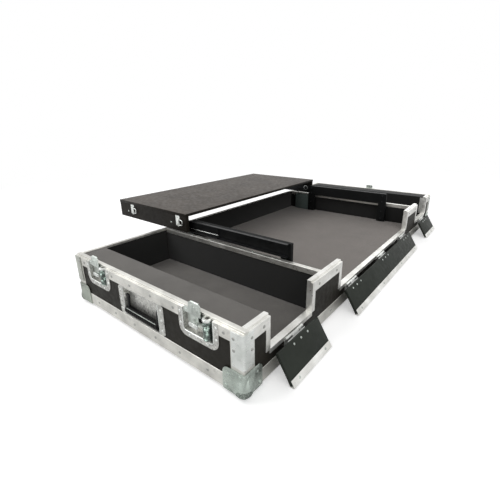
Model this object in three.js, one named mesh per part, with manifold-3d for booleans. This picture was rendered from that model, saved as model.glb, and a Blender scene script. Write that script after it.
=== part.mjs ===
// Open equipment case with a sliding shelf: a shallow plywood base in three bays, edged in
// aluminium, with three drop-down flaps along one long side, recessed latches and a handle.
// Millimetres, +Z up. The origin is the centre of the base panel's underside, +X is the side
// with the flaps and -Y is the end with the handle. The flaps hang open and the shelf is out.
import * as THREE from "three";
import { mergeVertices } from "three/addons/utils/BufferGeometryUtils.js";
import Module from "manifold-3d";

const wasm = await Module();
wasm.setup();

// Case shell
const CASE_WIDTH = 580;
const CASE_LENGTH = 1345;
const RIM_HEIGHT = 132;
const SKIN = 1.5;
const WALL = 12;
const BASE = 12;
const DIVIDER = 9.5;
const END_BAY = 290;
const GAP = 0.3;
const OVERRUN = 100;

// Aluminium edges
const ANGLE_LEG = 30;
const RIM_LEG = 27;
const RIM_LEDGE_WIDTH = 5;
const RIM_LEDGE_DROP = 4;
const RIM_SEAT_DROP = 5.5;
const RIM_INNER_LEG = 7;
const CAP_LEG = 12;
const JAMB_LEG = 13;
const SILL_LEG = 10;
const END_JAMB_DEPTH = 26;

// Cut-outs in the flap side, measured along the case
const END_CUTOUT_START = 76;
const END_CUTOUT_LENGTH = 155.5;
const MIDDLE_CUTOUT_LENGTH = 585;
const SILL_HEIGHT = 58;

// Floors and end blocks
const END_FLOOR_HEIGHT = 26;
const MIDDLE_FLOOR_HEIGHT = 57;
const BLOCK_DROP = 2;
const PAD_GAP = 0.5;

// Ball corners
const BALL_PLATE = 50;
const BALL_PLATE_ROUND = 14;
const BALL_SHEET = 1.2;
const BALL_RADIUS = 18;
const BALL_BULGE = 7.5;

// Flaps
const FLAP_PLY = 7;
const FLAP_BOTTOM_GAP = 1.5;
const FLAP_END_GAP = 1.5;
const FLAP_TOP_DROP = 3;
const FLAP_OPEN_DEGREES = 148;
const EDGE_SHEET = 1.2;
const EDGE_LEG = 15;
const EDGE_HEAD = 5;
const EDGE_SLOPE_WIDTH = 6;
const EDGE_SLOPE_DROP = 3.5;

// Flap hinges
const PIVOT_OUT = 3.4;
const PIVOT_DROP = 5;
const KNUCKLE_RADIUS = 3;
const HINGE_PIN_RADIUS = 1.2;
const HINGE_WIDTH = 60;
const HINGE_MIDDLE_WIDTH = 24;
const HINGE_LEAF_SHEET = 1.5;
const HINGE_LEAF_HEIGHT = 22;
const HINGE_INSET = 62;
const RIVET_RADIUS = 3;
const RIVET_HEIGHT = 1;
const RIVET_PITCH = 22;
const RIVET_RISE = 14;

// Latches
const LATCH_PLACE_SHARE = 0.621;
const DISH_WIDTH = 106;
const DISH_BOTTOM = 67;
const DISH_FLANGE = 14;
const DISH_ROUND = 20;
const DISH_SHEET = 1.2;
const DISH_DEPTH = 10;
const DISH_TOP_GAP = 0.2;
const HOOK_WIDTH = 46;
const HOOK_OFFSET = -13;
const HOOK_SHEET = 2;
const HOOK_STEP_HEIGHT = 121;
const HOOK_SHOULDER_HEIGHT = 133;
const HOOK_TIP_HEIGHT = 148;
const HOOK_TIP_WIDTH = 32;
const HOOK_FOOT_HEIGHT = 93;
const HOOK_LIP = 5;
const WING_HEIGHT = 97;
const WING_LENGTH = 26;
const WING_WIDTH = 10;
const WING_SHEET = 3;
const WING_HUB_RADIUS = 4.5;
const BARREL_RADIUS = 8;
const BARREL_BORE = 4;
const BARREL_BORE_DEPTH = 12;
const BARREL_OFFSET = 24;

// Handle
const HANDLE_X = -6;
const HANDLE_WIDTH = 166;
const HANDLE_BOTTOM = 31;
const HANDLE_ROUND = 8;
const HANDLE_FLANGE = 20;
const HANDLE_EDGE = 3.5;
const HANDLE_DEPTH = 12;
const BAIL_SIDE_ROOM = 29;
const BAIL_RADIUS = 3.5;
const BAIL_DROP = 36.5;
const BAIL_PIVOT_HEIGHT = 82;
const BAIL_PIVOT_DEPTH = 5.4;
const BAIL_STUB = 5;
const GRIP_RADIUS = 9;
const GRIP_DEPTH = 2.4;
const GRIP_END_GAP = 2;
const EAR_HEIGHT = 14;

// Sliding shelf and its runners
const SHELF_WIDTH = 360;
const SHELF_OVERHANG = 4.75;
const SHELF_TOP = 196;
const SHELF_DEPTH = 58;
const SHELF_BOARD = 9;
const SHELF_SKIRT = 12;
const SHELF_LEFT = -529;
const SHELF_TRAVEL = 355;
const MIDDLE_TRAVEL = 237;
const RUNNER_LENGTH = 350;
const RUNNER_HEIGHT = 35;
const RUNNER_THICK = 12.7;
const RUNNER_SHEET = 1.2;
const RUNNER_CENTRE = 154;
const RUNNER_LIP_GAP = 3;
const RUNNER_INSET = 5;
const CARRIER = 12;
const CARRIER_BOTTOM = 131;
const CARRIER_TOP = 172;
const CARRIER_EXTRA = 6;
const CARRIER_LEG = 30;
const CARRIER_SPACER_TOP = 112;

// Catches on the shelf's near skirt
const CATCH_PLACES = [78, 323];
const CATCH_WIDTH = 18;
const CATCH_HEIGHT = 32;
const CATCH_SHEET = 1.5;
const CATCH_DROP = 9;
const LOOP_WIDTH = 16;
const LOOP_HEIGHT = 20;
const LOOP_ROD = 2.4;
const LOOP_EYE = 4.2;
const LOOP_RISE = 2;
const LOOP_ROUND = 6.5;

const ROUND_STEPS = 12;
const CURVE_STEPS = 5;
const BALL_STEPS = 20;

// Places worked out from the sizes
const halfWidth = CASE_WIDTH / 2;
const halfLength = CASE_LENGTH / 2;
const wallOuterX = halfWidth - SKIN;
const wallInnerX = wallOuterX - WALL;
const wallOuterY = halfLength - SKIN;
const wallInnerY = wallOuterY - WALL;
const wallTop = RIM_HEIGHT - RIM_SEAT_DROP;
const rimInnerX = wallInnerX - SKIN;
const rimInnerY = wallInnerY - SKIN;
const rimLegBottom = RIM_HEIGHT - RIM_LEG;
const rimInnerLegBottom = RIM_HEIGHT - RIM_INNER_LEG;
const dividerY = halfLength - END_BAY;
const dividerInnerY = dividerY - DIVIDER / 2;
const dividerOuterY = dividerY + DIVIDER / 2;
const shelfHalfLength = dividerOuterY + SHELF_OVERHANG;
const latchX = halfWidth * LATCH_PLACE_SHARE;
const endCutoutY = halfLength - END_CUTOUT_START - END_CUTOUT_LENGTH / 2;
const cutouts = [
  { name: "near", centre: -endCutoutY, length: END_CUTOUT_LENGTH, hinges: [0] },
  {
    name: "middle",
    centre: 0,
    length: MIDDLE_CUTOUT_LENGTH,
    hinges: [-1, 0, 1].map((side) => side * (MIDDLE_CUTOUT_LENGTH / 2 - HINGE_INSET)),
  },
  { name: "far", centre: endCutoutY, length: END_CUTOUT_LENGTH, hinges: [0] },
];
const pivotX = halfWidth + PIVOT_OUT;
const pivotZ = SILL_HEIGHT - PIVOT_DROP;
const bailHalfWidth = HANDLE_WIDTH / 2 - BAIL_SIDE_ROOM;
const ballCentreInset = BALL_RADIUS - BALL_BULGE;

// Solids and their geometry

// The closed solid of a geometry, with its shared corners merged.
function solid(geometry) {
  const bare = geometry.clone();
  bare.deleteAttribute("normal");
  bare.deleteAttribute("uv");
  const merged = mergeVertices(bare);
  return new wasm.Manifold(
    new wasm.Mesh({
      numProp: 3,
      vertProperties: merged.attributes.position.array,
      triVerts: new Uint32Array(merged.index.array),
    }),
  );
}

// The geometry of a solid.
function geometryOf(shape) {
  const mesh = shape.getMesh();
  const geometry = new THREE.BufferGeometry();
  geometry.setAttribute("position", new THREE.BufferAttribute(mesh.vertProperties, 3));
  geometry.setIndex(new THREE.BufferAttribute(mesh.triVerts, 1));
  return geometry;
}

function join(...shapes) {
  return shapes.reduce((whole, shape) => whole.add(shape));
}

function cut(shape, ...tools) {
  return tools.reduce((left, tool) => left.subtract(tool), shape);
}

// A box between two places on each axis.
function block(x, y, z) {
  const box = new THREE.BoxGeometry(1, 1, 1);
  const place = box.attributes.position;
  for (let i = 0; i < place.count; i++) {
    const low = [place.getX(i) < 0, place.getY(i) < 0, place.getZ(i) < 0];
    place.setXYZ(i, low[0] ? x[0] : x[1], low[1] ? y[0] : y[1], low[2] ? z[0] : z[1]);
  }
  return solid(box);
}

// A closed outline swept straight along an axis between two places. The outline is in
// (y, z) for the x axis, in (x, z) for the y axis and in (x, y) for the z axis.
function sweep(axis, outline, span) {
  const points = outline.map(([u, v]) => (axis === "y" ? [v, u] : [u, v]));
  const shape = new THREE.Shape(points.map(([u, v]) => new THREE.Vector2(u, v)));
  const body = new THREE.ExtrudeGeometry(shape, { depth: 1, bevelEnabled: false });
  const place = body.attributes.position;
  for (let i = 0; i < place.count; i++) {
    const [u, v] = [place.getX(i), place.getY(i)];
    const w = place.getZ(i) > 0 ? span[1] : span[0];
    if (axis === "x") place.setXYZ(i, w, u, v);
    else if (axis === "y") place.setXYZ(i, v, w, u);
    else place.setXYZ(i, u, v, w);
  }
  return solid(body);
}

// A rectangle with chosen corners rounded: low left, low right, high right, high left.
function roundedOutline([u0, u1], [v0, v1], radius, corners = [true, true, true, true]) {
  const places = [
    [u0, v0, Math.PI],
    [u1, v0, -Math.PI / 2],
    [u1, v1, 0],
    [u0, v1, Math.PI / 2],
  ];
  return places.flatMap(([u, v, start], index) => {
    if (!corners[index]) return [[u, v]];
    const centreU = u === u0 ? u0 + radius : u1 - radius;
    const centreV = v === v0 ? v0 + radius : v1 - radius;
    return Array.from({ length: CURVE_STEPS + 1 }, (_, step) => {
      const angle = start + (step / CURVE_STEPS) * (Math.PI / 2);
      return [centreU + radius * Math.cos(angle), centreV + radius * Math.sin(angle)];
    });
  });
}

// A round rod between two points.
function rod(start, end, radius, steps = ROUND_STEPS) {
  const from = new THREE.Vector3(...start);
  const to = new THREE.Vector3(...end);
  const along = to.clone().sub(from);
  const turn = new THREE.Quaternion().setFromUnitVectors(
    new THREE.Vector3(0, 1, 0),
    along.clone().normalize(),
  );
  const cylinder = new THREE.CylinderGeometry(radius, radius, along.length(), steps);
  cylinder.applyQuaternion(turn);
  const middle = from.add(to).multiplyScalar(1 / 2);
  return solid(cylinder.translate(middle.x, middle.y, middle.z));
}

function ball(centre, radius, steps = ROUND_STEPS) {
  const sphere = new THREE.SphereGeometry(radius, steps, steps / 2);
  sphere.rotateX(Math.PI / 2);
  return solid(sphere.translate(...centre));
}

// Both places on one end of the case, in rising order: side -1 is near, side 1 is far.
function mirrored(side, from, to) {
  return [side * from, side * to].sort((a, b) => a - b);
}

// Finishes
const finish = (color, roughness, metalness) => () =>
  new THREE.MeshStandardMaterial({ color, roughness, metalness, flatShading: true });
const aluminium = finish(0xc6c6c0, 0.38, 0.85);
const steel = finish(0xb4b8b6, 0.32, 0.9);
const plywood = finish(0x2c2824, 0.55, 0.05);
const lining = finish(0x26252a, 0.9, 0);
const carpet = finish(0x7c7872, 0.95, 0);
const flapBoard = finish(0x3a3f3c, 0.6, 0.05);
const shelfBoard = finish(0x665f58, 0.5, 0.05);
const blackSteel = finish(0x1c1d1e, 0.45, 0.6);

const caseGroup = new THREE.Group();

function add(group, name, shape, material) {
  const mesh = new THREE.Mesh(geometryOf(shape), material());
  mesh.name = name;
  group.add(mesh);
  return mesh;
}

// Base and walls
function addPanels() {
  const fullX = [-wallOuterX, wallOuterX];
  const fullY = [-wallOuterY, wallOuterY];
  add(caseGroup, "base_panel", basePanel(fullX, fullY), plywood);
  const tall = [BASE, wallTop];
  const nearWall = block(fullX, [-wallOuterY, -wallInnerY], tall);
  const nearLatches = [-latchX, latchX].map((x) => latchCut(x, -1));
  add(caseGroup, "near_panel", cut(nearWall, ...nearLatches, handleCut()), plywood);
  const farWall = block(fullX, [wallInnerY, wallOuterY], tall);
  add(caseGroup, "far_panel", cut(farWall, latchCut(0, 1)), plywood);
  const between = [-wallInnerY, wallInnerY];
  add(caseGroup, "left_panel", block([-wallOuterX, -wallInnerX], between, tall), plywood);
  const right = block([wallInnerX, wallOuterX], between, tall);
  const notches = cutouts.map(({ centre, length }) => {
    const half = length / 2 + SKIN;
    const across = [wallInnerX - OVERRUN, wallOuterX + OVERRUN];
    return block(across, [centre - half, centre + half], [SILL_HEIGHT - SKIN, wallTop + OVERRUN]);
  });
  add(caseGroup, "right_panel", cut(right, ...notches), plywood);
}

// The base panel, rebated round its underside for the angles and the ball corners.
function basePanel(fullX, fullY) {
  const flatX = halfWidth - ANGLE_LEG - GAP;
  const flatY = halfLength - ANGLE_LEG - GAP;
  const flat = block([-flatX, flatX], [-flatY, flatY], [0, SKIN]);
  const corners = [-1, 1].flatMap((hand) =>
    [-1, 1].map((side) => {
      const x = mirrored(hand, halfWidth - BALL_PLATE, halfWidth);
      return block(x, mirrored(side, halfLength - BALL_PLATE, halfLength), [-OVERRUN, SKIN]);
    }),
  );
  return join(block(fullX, fullY, [SKIN, BASE]), cut(flat, ...corners));
}

// The room in an end wall for a latch's dish, which is open at the top.
function latchCut(x, side) {
  const half = DISH_WIDTH / 2 - DISH_FLANGE + DISH_SHEET + GAP;
  const bottom = DISH_BOTTOM + DISH_FLANGE - DISH_SHEET - GAP;
  const through = mirrored(side, wallInnerY - OVERRUN, wallOuterY + OVERRUN);
  return block([x - half, x + half], through, [bottom, wallTop + OVERRUN]);
}

// The room in the near wall for the handle's dish.
function handleCut() {
  const half = HANDLE_WIDTH / 2 - HANDLE_FLANGE + DISH_SHEET + GAP;
  const low = HANDLE_BOTTOM + HANDLE_EDGE - DISH_SHEET - GAP;
  const high = rimLegBottom - HANDLE_EDGE + DISH_SHEET;
  const through = [-wallOuterY - OVERRUN, -wallInnerY + OVERRUN];
  return block([HANDLE_X - half, HANDLE_X + half], through, [low, high]);
}

// Dividers with their aluminium caps
function addDividers() {
  const narrow = rimInnerX - GAP;
  const shoulder = rimInnerLegBottom - GAP;
  const top = RIM_HEIGHT - SKIN;
  const outline = [
    [-wallInnerX, BASE],
    [wallInnerX, BASE],
    [wallInnerX, shoulder],
    [narrow, shoulder],
    [narrow, top],
    [-narrow, top],
    [-narrow, shoulder],
    [-wallInnerX, shoulder],
  ];
  for (const [name, side] of [["near", -1], ["far", 1]]) {
    const board = mirrored(side, dividerInnerY, dividerOuterY);
    add(caseGroup, `divider_${name}`, sweep("y", outline, board), lining);
    const capOutline = [
      [board[0] - SKIN, top - CAP_LEG],
      [board[0], top - CAP_LEG],
      [board[0], top],
      [board[1], top],
      [board[1], top - CAP_LEG],
      [board[1] + SKIN, top - CAP_LEG],
      [board[1] + SKIN, RIM_HEIGHT],
      [board[0] - SKIN, RIM_HEIGHT],
    ];
    const cap = sweep("x", capOutline, [-narrow, narrow]);
    add(caseGroup, `divider_cap_${name}`, cap, aluminium);
  }
}

// Floor pads, and the blocks that hide the hardware inside each end wall
function addLinings() {
  const across = [-rimInnerX + PAD_GAP, rimInnerX - PAD_GAP];
  const blockInner = halfLength - END_CUTOUT_START + SKIN + GAP;
  const endPad = [dividerOuterY + PAD_GAP, blockInner - PAD_GAP];
  const middleHalf = dividerInnerY - PAD_GAP;
  const middle = block(across, [-middleHalf, middleHalf], [BASE, MIDDLE_FLOOR_HEIGHT]);
  add(caseGroup, "floor_pad_middle", middle, carpet);
  const blockX = [-rimInnerX + GAP, rimInnerX - GAP];
  for (const [name, side] of [["near", -1], ["far", 1]]) {
    const pad = block(across, mirrored(side, ...endPad), [BASE, END_FLOOR_HEIGHT]);
    add(caseGroup, `floor_pad_${name}`, pad, carpet);
    const blockY = mirrored(side, blockInner, rimInnerY - GAP);
    const body = block(blockX, blockY, [BASE, RIM_HEIGHT - BLOCK_DROP]);
    add(caseGroup, `end_block_${name}`, body, carpet);
  }
}

// Angles along the bottom edges and up the corners
function addAngles() {
  const seam = halfLength - ANGLE_LEG;
  for (const [name, side] of [["near", -1], ["far", 1]]) {
    const face = mirrored(side, wallOuterY, halfLength);
    const leg = mirrored(side, seam, halfLength);
    const low = [
      block([-halfWidth, halfWidth], face, [0, ANGLE_LEG]),
      block([-halfWidth, halfWidth], leg, [0, SKIN]),
    ];
    const uprights = [-1, 1].flatMap((hand) => {
      const faceX = mirrored(hand, halfWidth - ANGLE_LEG, halfWidth);
      const skinX = mirrored(hand, wallOuterX, halfWidth);
      return [block(faceX, face, [0, rimLegBottom]), block(skinX, leg, [0, rimLegBottom])];
    });
    add(caseGroup, `end_frame_${name}`, join(...low, ...uprights), aluminium);
  }
  for (const [name, hand] of [["left", -1], ["right", 1]]) {
    const face = block(mirrored(hand, wallOuterX, halfWidth), [-seam, seam], [0, ANGLE_LEG]);
    const under = mirrored(hand, halfWidth - ANGLE_LEG, halfWidth);
    const flat = block(under, [-seam, seam], [0, SKIN]);
    add(caseGroup, `bottom_angle_${name}`, join(face, flat), aluminium);
  }
}

// The rim's section: how far in from the case's outer face, and the height.
function rimSection(outerFace, inward) {
  const ledgeTop = RIM_HEIGHT - RIM_LEDGE_DROP;
  const inner = SKIN + WALL;
  return [
    [0, rimLegBottom],
    [SKIN, rimLegBottom],
    [SKIN, wallTop],
    [inner, wallTop],
    [inner, rimInnerLegBottom],
    [inner + SKIN, rimInnerLegBottom],
    [inner + SKIN, RIM_HEIGHT],
    [RIM_LEDGE_WIDTH, RIM_HEIGHT],
    [RIM_LEDGE_WIDTH, ledgeTop],
    [0, ledgeTop],
  ].map(([depth, height]) => [outerFace + inward * depth, height]);
}

// Rim extrusions on both ends and on the left side
function addRims() {
  const latchSides = { near: [-latchX, latchX], far: [0] };
  const ledgeTop = RIM_HEIGHT - RIM_LEDGE_DROP;
  for (const [name, side] of [["near", -1], ["far", 1]]) {
    const bar = sweep("x", rimSection(side * halfLength, -side), [-halfWidth, halfWidth]);
    const cheeks = [-1, 1].map((hand) => {
      const skin = mirrored(hand, wallOuterX, halfWidth);
      return block(skin, mirrored(side, rimInnerY, halfLength), [rimLegBottom, ledgeTop]);
    });
    const notches = latchSides[name].flatMap((x) => rimNotches(x, side));
    const sideWalls = [-1, 1].map((hand) => {
      const legY = mirrored(side, rimInnerY - OVERRUN, wallInnerY);
      return block(mirrored(hand, wallInnerX, wallOuterX), legY, [rimLegBottom, wallTop]);
    });
    const whole = cut(join(bar, ...cheeks), ...notches, ...sideWalls);
    add(caseGroup, `rim_${name}`, whole, aluminium);
  }
  const long = sweep("y", rimSection(-halfWidth, 1), [-rimInnerY, rimInnerY]);
  add(caseGroup, "rim_left", long, aluminium);
}

// What a latch takes out of the rim: its flange's seat, and the way up for its hook.
function rimNotches(x, side) {
  const flange = DISH_WIDTH / 2 + GAP;
  const mouth = DISH_WIDTH / 2 - DISH_FLANGE;
  const ledge = mirrored(side, halfLength - RIM_LEDGE_WIDTH, halfLength + OVERRUN);
  const skin = mirrored(side, wallOuterY, halfLength + OVERRUN);
  return [
    block([x - flange, x + flange], skin, [rimLegBottom - OVERRUN, wallTop]),
    block([x - mouth, x + mouth], ledge, [wallTop - OVERRUN, RIM_HEIGHT + OVERRUN]),
  ];
}

// Aluminium round each cut-out: sill, jambs and the tops of the posts beside it
function addCutoutTrims() {
  const postEnds = cutoutPostEnds();
  const section = rimSection(halfWidth, -1);
  cutouts.forEach(({ name, centre, length, hinges }, index) => {
    const [low, high] = [centre - length / 2, centre + length / 2];
    const [startY, endY] = postEnds[index];
    const opening = [low - SKIN, high + SKIN];
    const skinX = [wallOuterX, halfWidth];
    const blockX = halfWidth - END_JAMB_DEPTH;
    const pieces = [
      sweep("y", section, [startY, low - SKIN]),
      sweep("y", section, [high + SKIN, endY]),
      block([rimInnerX, halfWidth], opening, [SILL_HEIGHT - SKIN, SILL_HEIGHT]),
      block(skinX, opening, [SILL_HEIGHT - SILL_LEG, SILL_HEIGHT]),
      ...jamb(low, -1, name === "near" ? blockX : rimInnerX),
      ...jamb(high, 1, name === "far" ? blockX : rimInnerX),
      ...hinges.map((offset) => fixedLeaf(centre + offset)),
    ];
    add(caseGroup, `cutout_trim_${name}`, join(...pieces), aluminium);
  });
}

// One upright of a cut-out's trim: a face leg, and a return through the wall with the
// rim's step at its top. The return reaches in to innerX.
function jamb(edge, away, innerX) {
  const leg = [edge, edge + away * JAMB_LEG].sort((a, b) => a - b);
  const plate = [edge, edge + away * SKIN].sort((a, b) => a - b);
  const foot = SILL_HEIGHT - SKIN;
  const ledgeTop = RIM_HEIGHT - RIM_LEDGE_DROP;
  return [
    block([wallOuterX, halfWidth], leg, [foot, ledgeTop]),
    block([innerX, halfWidth], plate, [foot, wallTop]),
    block([rimInnerX, halfWidth], plate, [foot, ledgeTop]),
    block([rimInnerX, halfWidth - RIM_LEDGE_WIDTH], plate, [wallTop, RIM_HEIGHT]),
  ];
}

// Where each cut-out's trim starts and ends along the case.
function cutoutPostEnds() {
  const outer = rimInnerY;
  const half = MIDDLE_CUTOUT_LENGTH / 2;
  const post = (half + endCutoutY - END_CUTOUT_LENGTH / 2) / 2;
  return [[-outer, -post], [-post, post], [post, outer]];
}

// The fixed half of a flap hinge: leaf, two outer knuckles and the pin.
function fixedLeaf(y) {
  const half = HINGE_WIDTH / 2;
  const inner = HINGE_MIDDLE_WIDTH / 2 + GAP;
  const skin = [halfWidth, halfWidth + HINGE_LEAF_SHEET];
  const seat = [wallOuterX, halfWidth + HINGE_LEAF_SHEET];
  const clear = pivotZ - KNUCKLE_RADIUS - GAP;
  const low = pivotZ - HINGE_LEAF_HEIGHT;
  const knuckles = [[y - half, y - inner], [y + inner, y + half]];
  return join(
    block(skin, [y - half, y + half], [low, clear]),
    block(seat, [y - half, y + half], [low, SILL_HEIGHT - SILL_LEG + GAP]),
    ...knuckles.map((span) => block(skin, span, [low, pivotZ])),
    ...knuckles.map((span) => rodAlongY(span, KNUCKLE_RADIUS)),
    rodAlongY([y - half, y + half], HINGE_PIN_RADIUS),
  );
}

function rodAlongY(span, radius) {
  return rod([pivotX, span[0], pivotZ], [pivotX, span[1], pivotZ], radius);
}

// Ball corners: plates on the three faces and a domed corner between them
function addBallCorners() {
  const corners = [
    ["near_left", -1, -1],
    ["near_right", 1, -1],
    ["far_left", -1, 1],
    ["far_right", 1, 1],
  ];
  for (const [name, hand, side] of corners) {
    const corner = new THREE.Group();
    corner.position.set(hand * (halfWidth + GAP), side * (halfLength + GAP), -GAP);
    corner.scale.set(hand, side, 1);
    caseGroup.add(corner);
    add(corner, `ball_corner_${name}`, ballCorner(), steel);
  }
}

// One ball corner, with the case's corner at the origin and the case below in x and y.
function ballCorner() {
  const plate = [-BALL_PLATE, BALL_SHEET];
  const onlyFar = [true, false, false, false];
  const side = roundedOutline(plate, [-BALL_SHEET, BALL_PLATE], BALL_PLATE_ROUND, [
    false,
    false,
    false,
    true,
  ]);
  const under = roundedOutline(plate, plate, BALL_PLATE_ROUND, onlyFar);
  const inset = ballCentreInset;
  const around = [-OVERRUN, OVERRUN];
  const caseBox = block([-OVERRUN, 0], [-OVERRUN, 0], [0, OVERRUN]);
  const ground = block(around, around, [-OVERRUN, -BALL_BULGE]);
  return cut(
    join(
      sweep("y", side, [0, BALL_SHEET]),
      sweep("x", side, [0, BALL_SHEET]),
      sweep("z", under, [-BALL_SHEET, 0]),
      ball([-inset, -inset, inset], BALL_RADIUS, BALL_STEPS),
    ),
    caseBox,
    ground,
  );
}

// Flaps, modelled shut and turned open about their hinges
function addFlaps() {
  const top = RIM_HEIGHT - FLAP_TOP_DROP;
  for (const { name, centre, length, hinges } of cutouts) {
    const flap = new THREE.Group();
    flap.position.set(pivotX, centre, pivotZ);
    flap.rotation.y = THREE.MathUtils.degToRad(FLAP_OPEN_DEGREES);
    caseGroup.add(flap);
    const half = length / 2 - FLAP_END_GAP;
    const outer = halfWidth - pivotX;
    const inner = outer - FLAP_PLY;
    const bottom = SILL_HEIGHT + FLAP_BOTTOM_GAP - pivotZ;
    const ply = block([inner, outer], [-half, half], [bottom, top - EDGE_HEAD - pivotZ]);
    const leaves = hinges.map((y) => movingLeaf(y, inner, outer));
    add(flap, `flap_${name}_panel`, join(ply, ...leaves), flapBoard);
    const edge = sweep("y", edgeSection(inner, outer, top - pivotZ), [-half, half]);
    add(flap, `flap_${name}_edge`, edge, aluminium);
  }
}

// The edge extrusion on a flap's free end, sloped where a lid's lip would pass it.
function edgeSection(inner, outer, top) {
  const legEnd = top - EDGE_LEG;
  const seat = top - EDGE_HEAD + GAP;
  const [innerSeat, outerSeat] = [inner - GAP, outer + GAP];
  const [innerFace, outerFace] = [innerSeat - EDGE_SHEET, outerSeat + EDGE_SHEET];
  return [
    [innerFace, legEnd],
    [innerSeat, legEnd],
    [innerSeat, seat],
    [outerSeat, seat],
    [outerSeat, legEnd],
    [outerFace, legEnd],
    [outerFace, top - EDGE_SLOPE_DROP],
    [outerFace - EDGE_SLOPE_WIDTH, top],
    [innerFace, top],
  ];
}

// The moving half of a flap hinge with its rivets, about the pin at the origin.
function movingLeaf(y, inner, outer) {
  const half = HINGE_WIDTH / 2;
  const mid = HINGE_MIDDLE_WIDTH / 2;
  const skin = [outer - GAP, outer + HINGE_LEAF_SHEET];
  const leafLow = KNUCKLE_RADIUS + FLAP_BOTTOM_GAP;
  const knuckle = rod([0, y - mid, 0], [0, y + mid, 0], KNUCKLE_RADIUS);
  const bore = rod([0, y - half, 0], [0, y + half, 0], HINGE_PIN_RADIUS + GAP);
  const leaf = join(
    block([outer, skin[1]], [y - half, y + half], [leafLow, HINGE_LEAF_HEIGHT]),
    block(skin, [y - half, y + half], [SILL_HEIGHT + FLAP_BOTTOM_GAP - pivotZ, HINGE_LEAF_HEIGHT]),
    block([outer, skin[1]], [y - mid, y + mid], [0, leafLow + GAP]),
    knuckle,
  );
  const rivets = [-RIVET_PITCH, 0, RIVET_PITCH].map((offset) => {
    const height = RIVET_RISE;
    return rod(
      [inner - RIVET_HEIGHT, y + offset, height],
      [inner + GAP, y + offset, height],
      RIVET_RADIUS,
      ROUND_STEPS,
    );
  });
  return join(cut(leaf, bore), ...rivets);
}

// Recessed latches, each in a frame whose -Y points out of its wall
function addLatches() {
  const places = [
    ["near_left", -latchX, -1],
    ["near_right", latchX, -1],
    ["far", 0, 1],
  ];
  for (const [name, x, side] of places) {
    const latch = new THREE.Group();
    latch.position.set(x, side * wallOuterY, 0);
    latch.rotation.z = side < 0 ? 0 : Math.PI;
    caseGroup.add(latch);
    add(latch, `latch_${name}_dish`, latchDish(), steel);
    add(latch, `latch_${name}_hook`, latchHook(), steel);
    add(latch, `latch_${name}_wing`, latchWing(), steel);
  }
}

// The pressed dish, open at its top, with the spring barrel at one side.
function latchDish() {
  const half = DISH_WIDTH / 2;
  const mouth = half - DISH_FLANGE;
  const top = wallTop - DISH_TOP_GAP;
  const lowCorners = [true, true, false, false];
  const flange = roundedOutline([-half, half], [DISH_BOTTOM, top], DISH_ROUND, lowCorners);
  const floor = DISH_BOTTOM + DISH_FLANGE;
  const tub = [-mouth - DISH_SHEET, mouth + DISH_SHEET];
  const back = DISH_DEPTH - GAP;
  const hollow = block([-mouth, mouth], [-OVERRUN, back], [floor, top + OVERRUN]);
  const centre = [BARREL_OFFSET, back + GAP - BARREL_RADIUS];
  const barrel = rod([...centre, floor - DISH_SHEET], [...centre, top], BARREL_RADIUS);
  const boreBottom = top - BARREL_BORE_DEPTH;
  const bore = rod([...centre, boreBottom], [...centre, top + OVERRUN], BARREL_BORE);
  const shell = join(
    sweep("y", flange, [-SKIN, -GAP]),
    block(tub, [-SKIN, back + DISH_SHEET], [floor - DISH_SHEET, top]),
  );
  return cut(join(cut(shell, hollow), barrel), bore);
}

// The hook: a plate behind the wing, a step forward, and a narrower tip above the rim.
function latchHook() {
  const across = [HOOK_OFFSET - HOOK_WIDTH / 2, HOOK_OFFSET + HOOK_WIDTH / 2];
  const tip = [across[1] - HOOK_TIP_WIDTH, across[1]];
  const back = DISH_DEPTH - GAP - GAP;
  const front = -SKIN;
  const top = HOOK_TIP_HEIGHT;
  return join(
    block(across, [back - HOOK_SHEET, back], [HOOK_FOOT_HEIGHT, HOOK_STEP_HEIGHT + HOOK_SHEET]),
    block(across, [front, back], [HOOK_STEP_HEIGHT, HOOK_STEP_HEIGHT + HOOK_SHEET]),
    block(across, [front, front + HOOK_SHEET], [HOOK_STEP_HEIGHT, HOOK_SHOULDER_HEIGHT]),
    block(tip, [front, front + HOOK_SHEET], [HOOK_STEP_HEIGHT, top]),
    block(tip, [front, front + HOOK_LIP], [top - HOOK_SHEET, top]),
  );
}

// The wing that turns the latch's cam.
function latchWing() {
  const half = WING_LENGTH / 2;
  const high = WING_WIDTH / 2;
  const bar = roundedOutline(
    [HOOK_OFFSET - half, HOOK_OFFSET + half],
    [WING_HEIGHT - high, WING_HEIGHT + high],
    high - GAP,
  );
  const front = -SKIN + GAP;
  const hubEnd = DISH_DEPTH - GAP - GAP - HOOK_SHEET - GAP;
  const hub = [HOOK_OFFSET, WING_HEIGHT];
  return join(
    sweep("y", bar, [front, front + WING_SHEET]),
    rod([hub[0], front + GAP, hub[1]], [hub[0], hubEnd, hub[1]], WING_HUB_RADIUS),
  );
}

// Recessed handle on the near end
function addHandle() {
  const handle = new THREE.Group();
  handle.position.set(HANDLE_X, -wallOuterY, 0);
  caseGroup.add(handle);
  add(handle, "handle_dish", handleDish(), steel);
  add(handle, "handle_bail", handleBail(), blackSteel);
}

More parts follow.
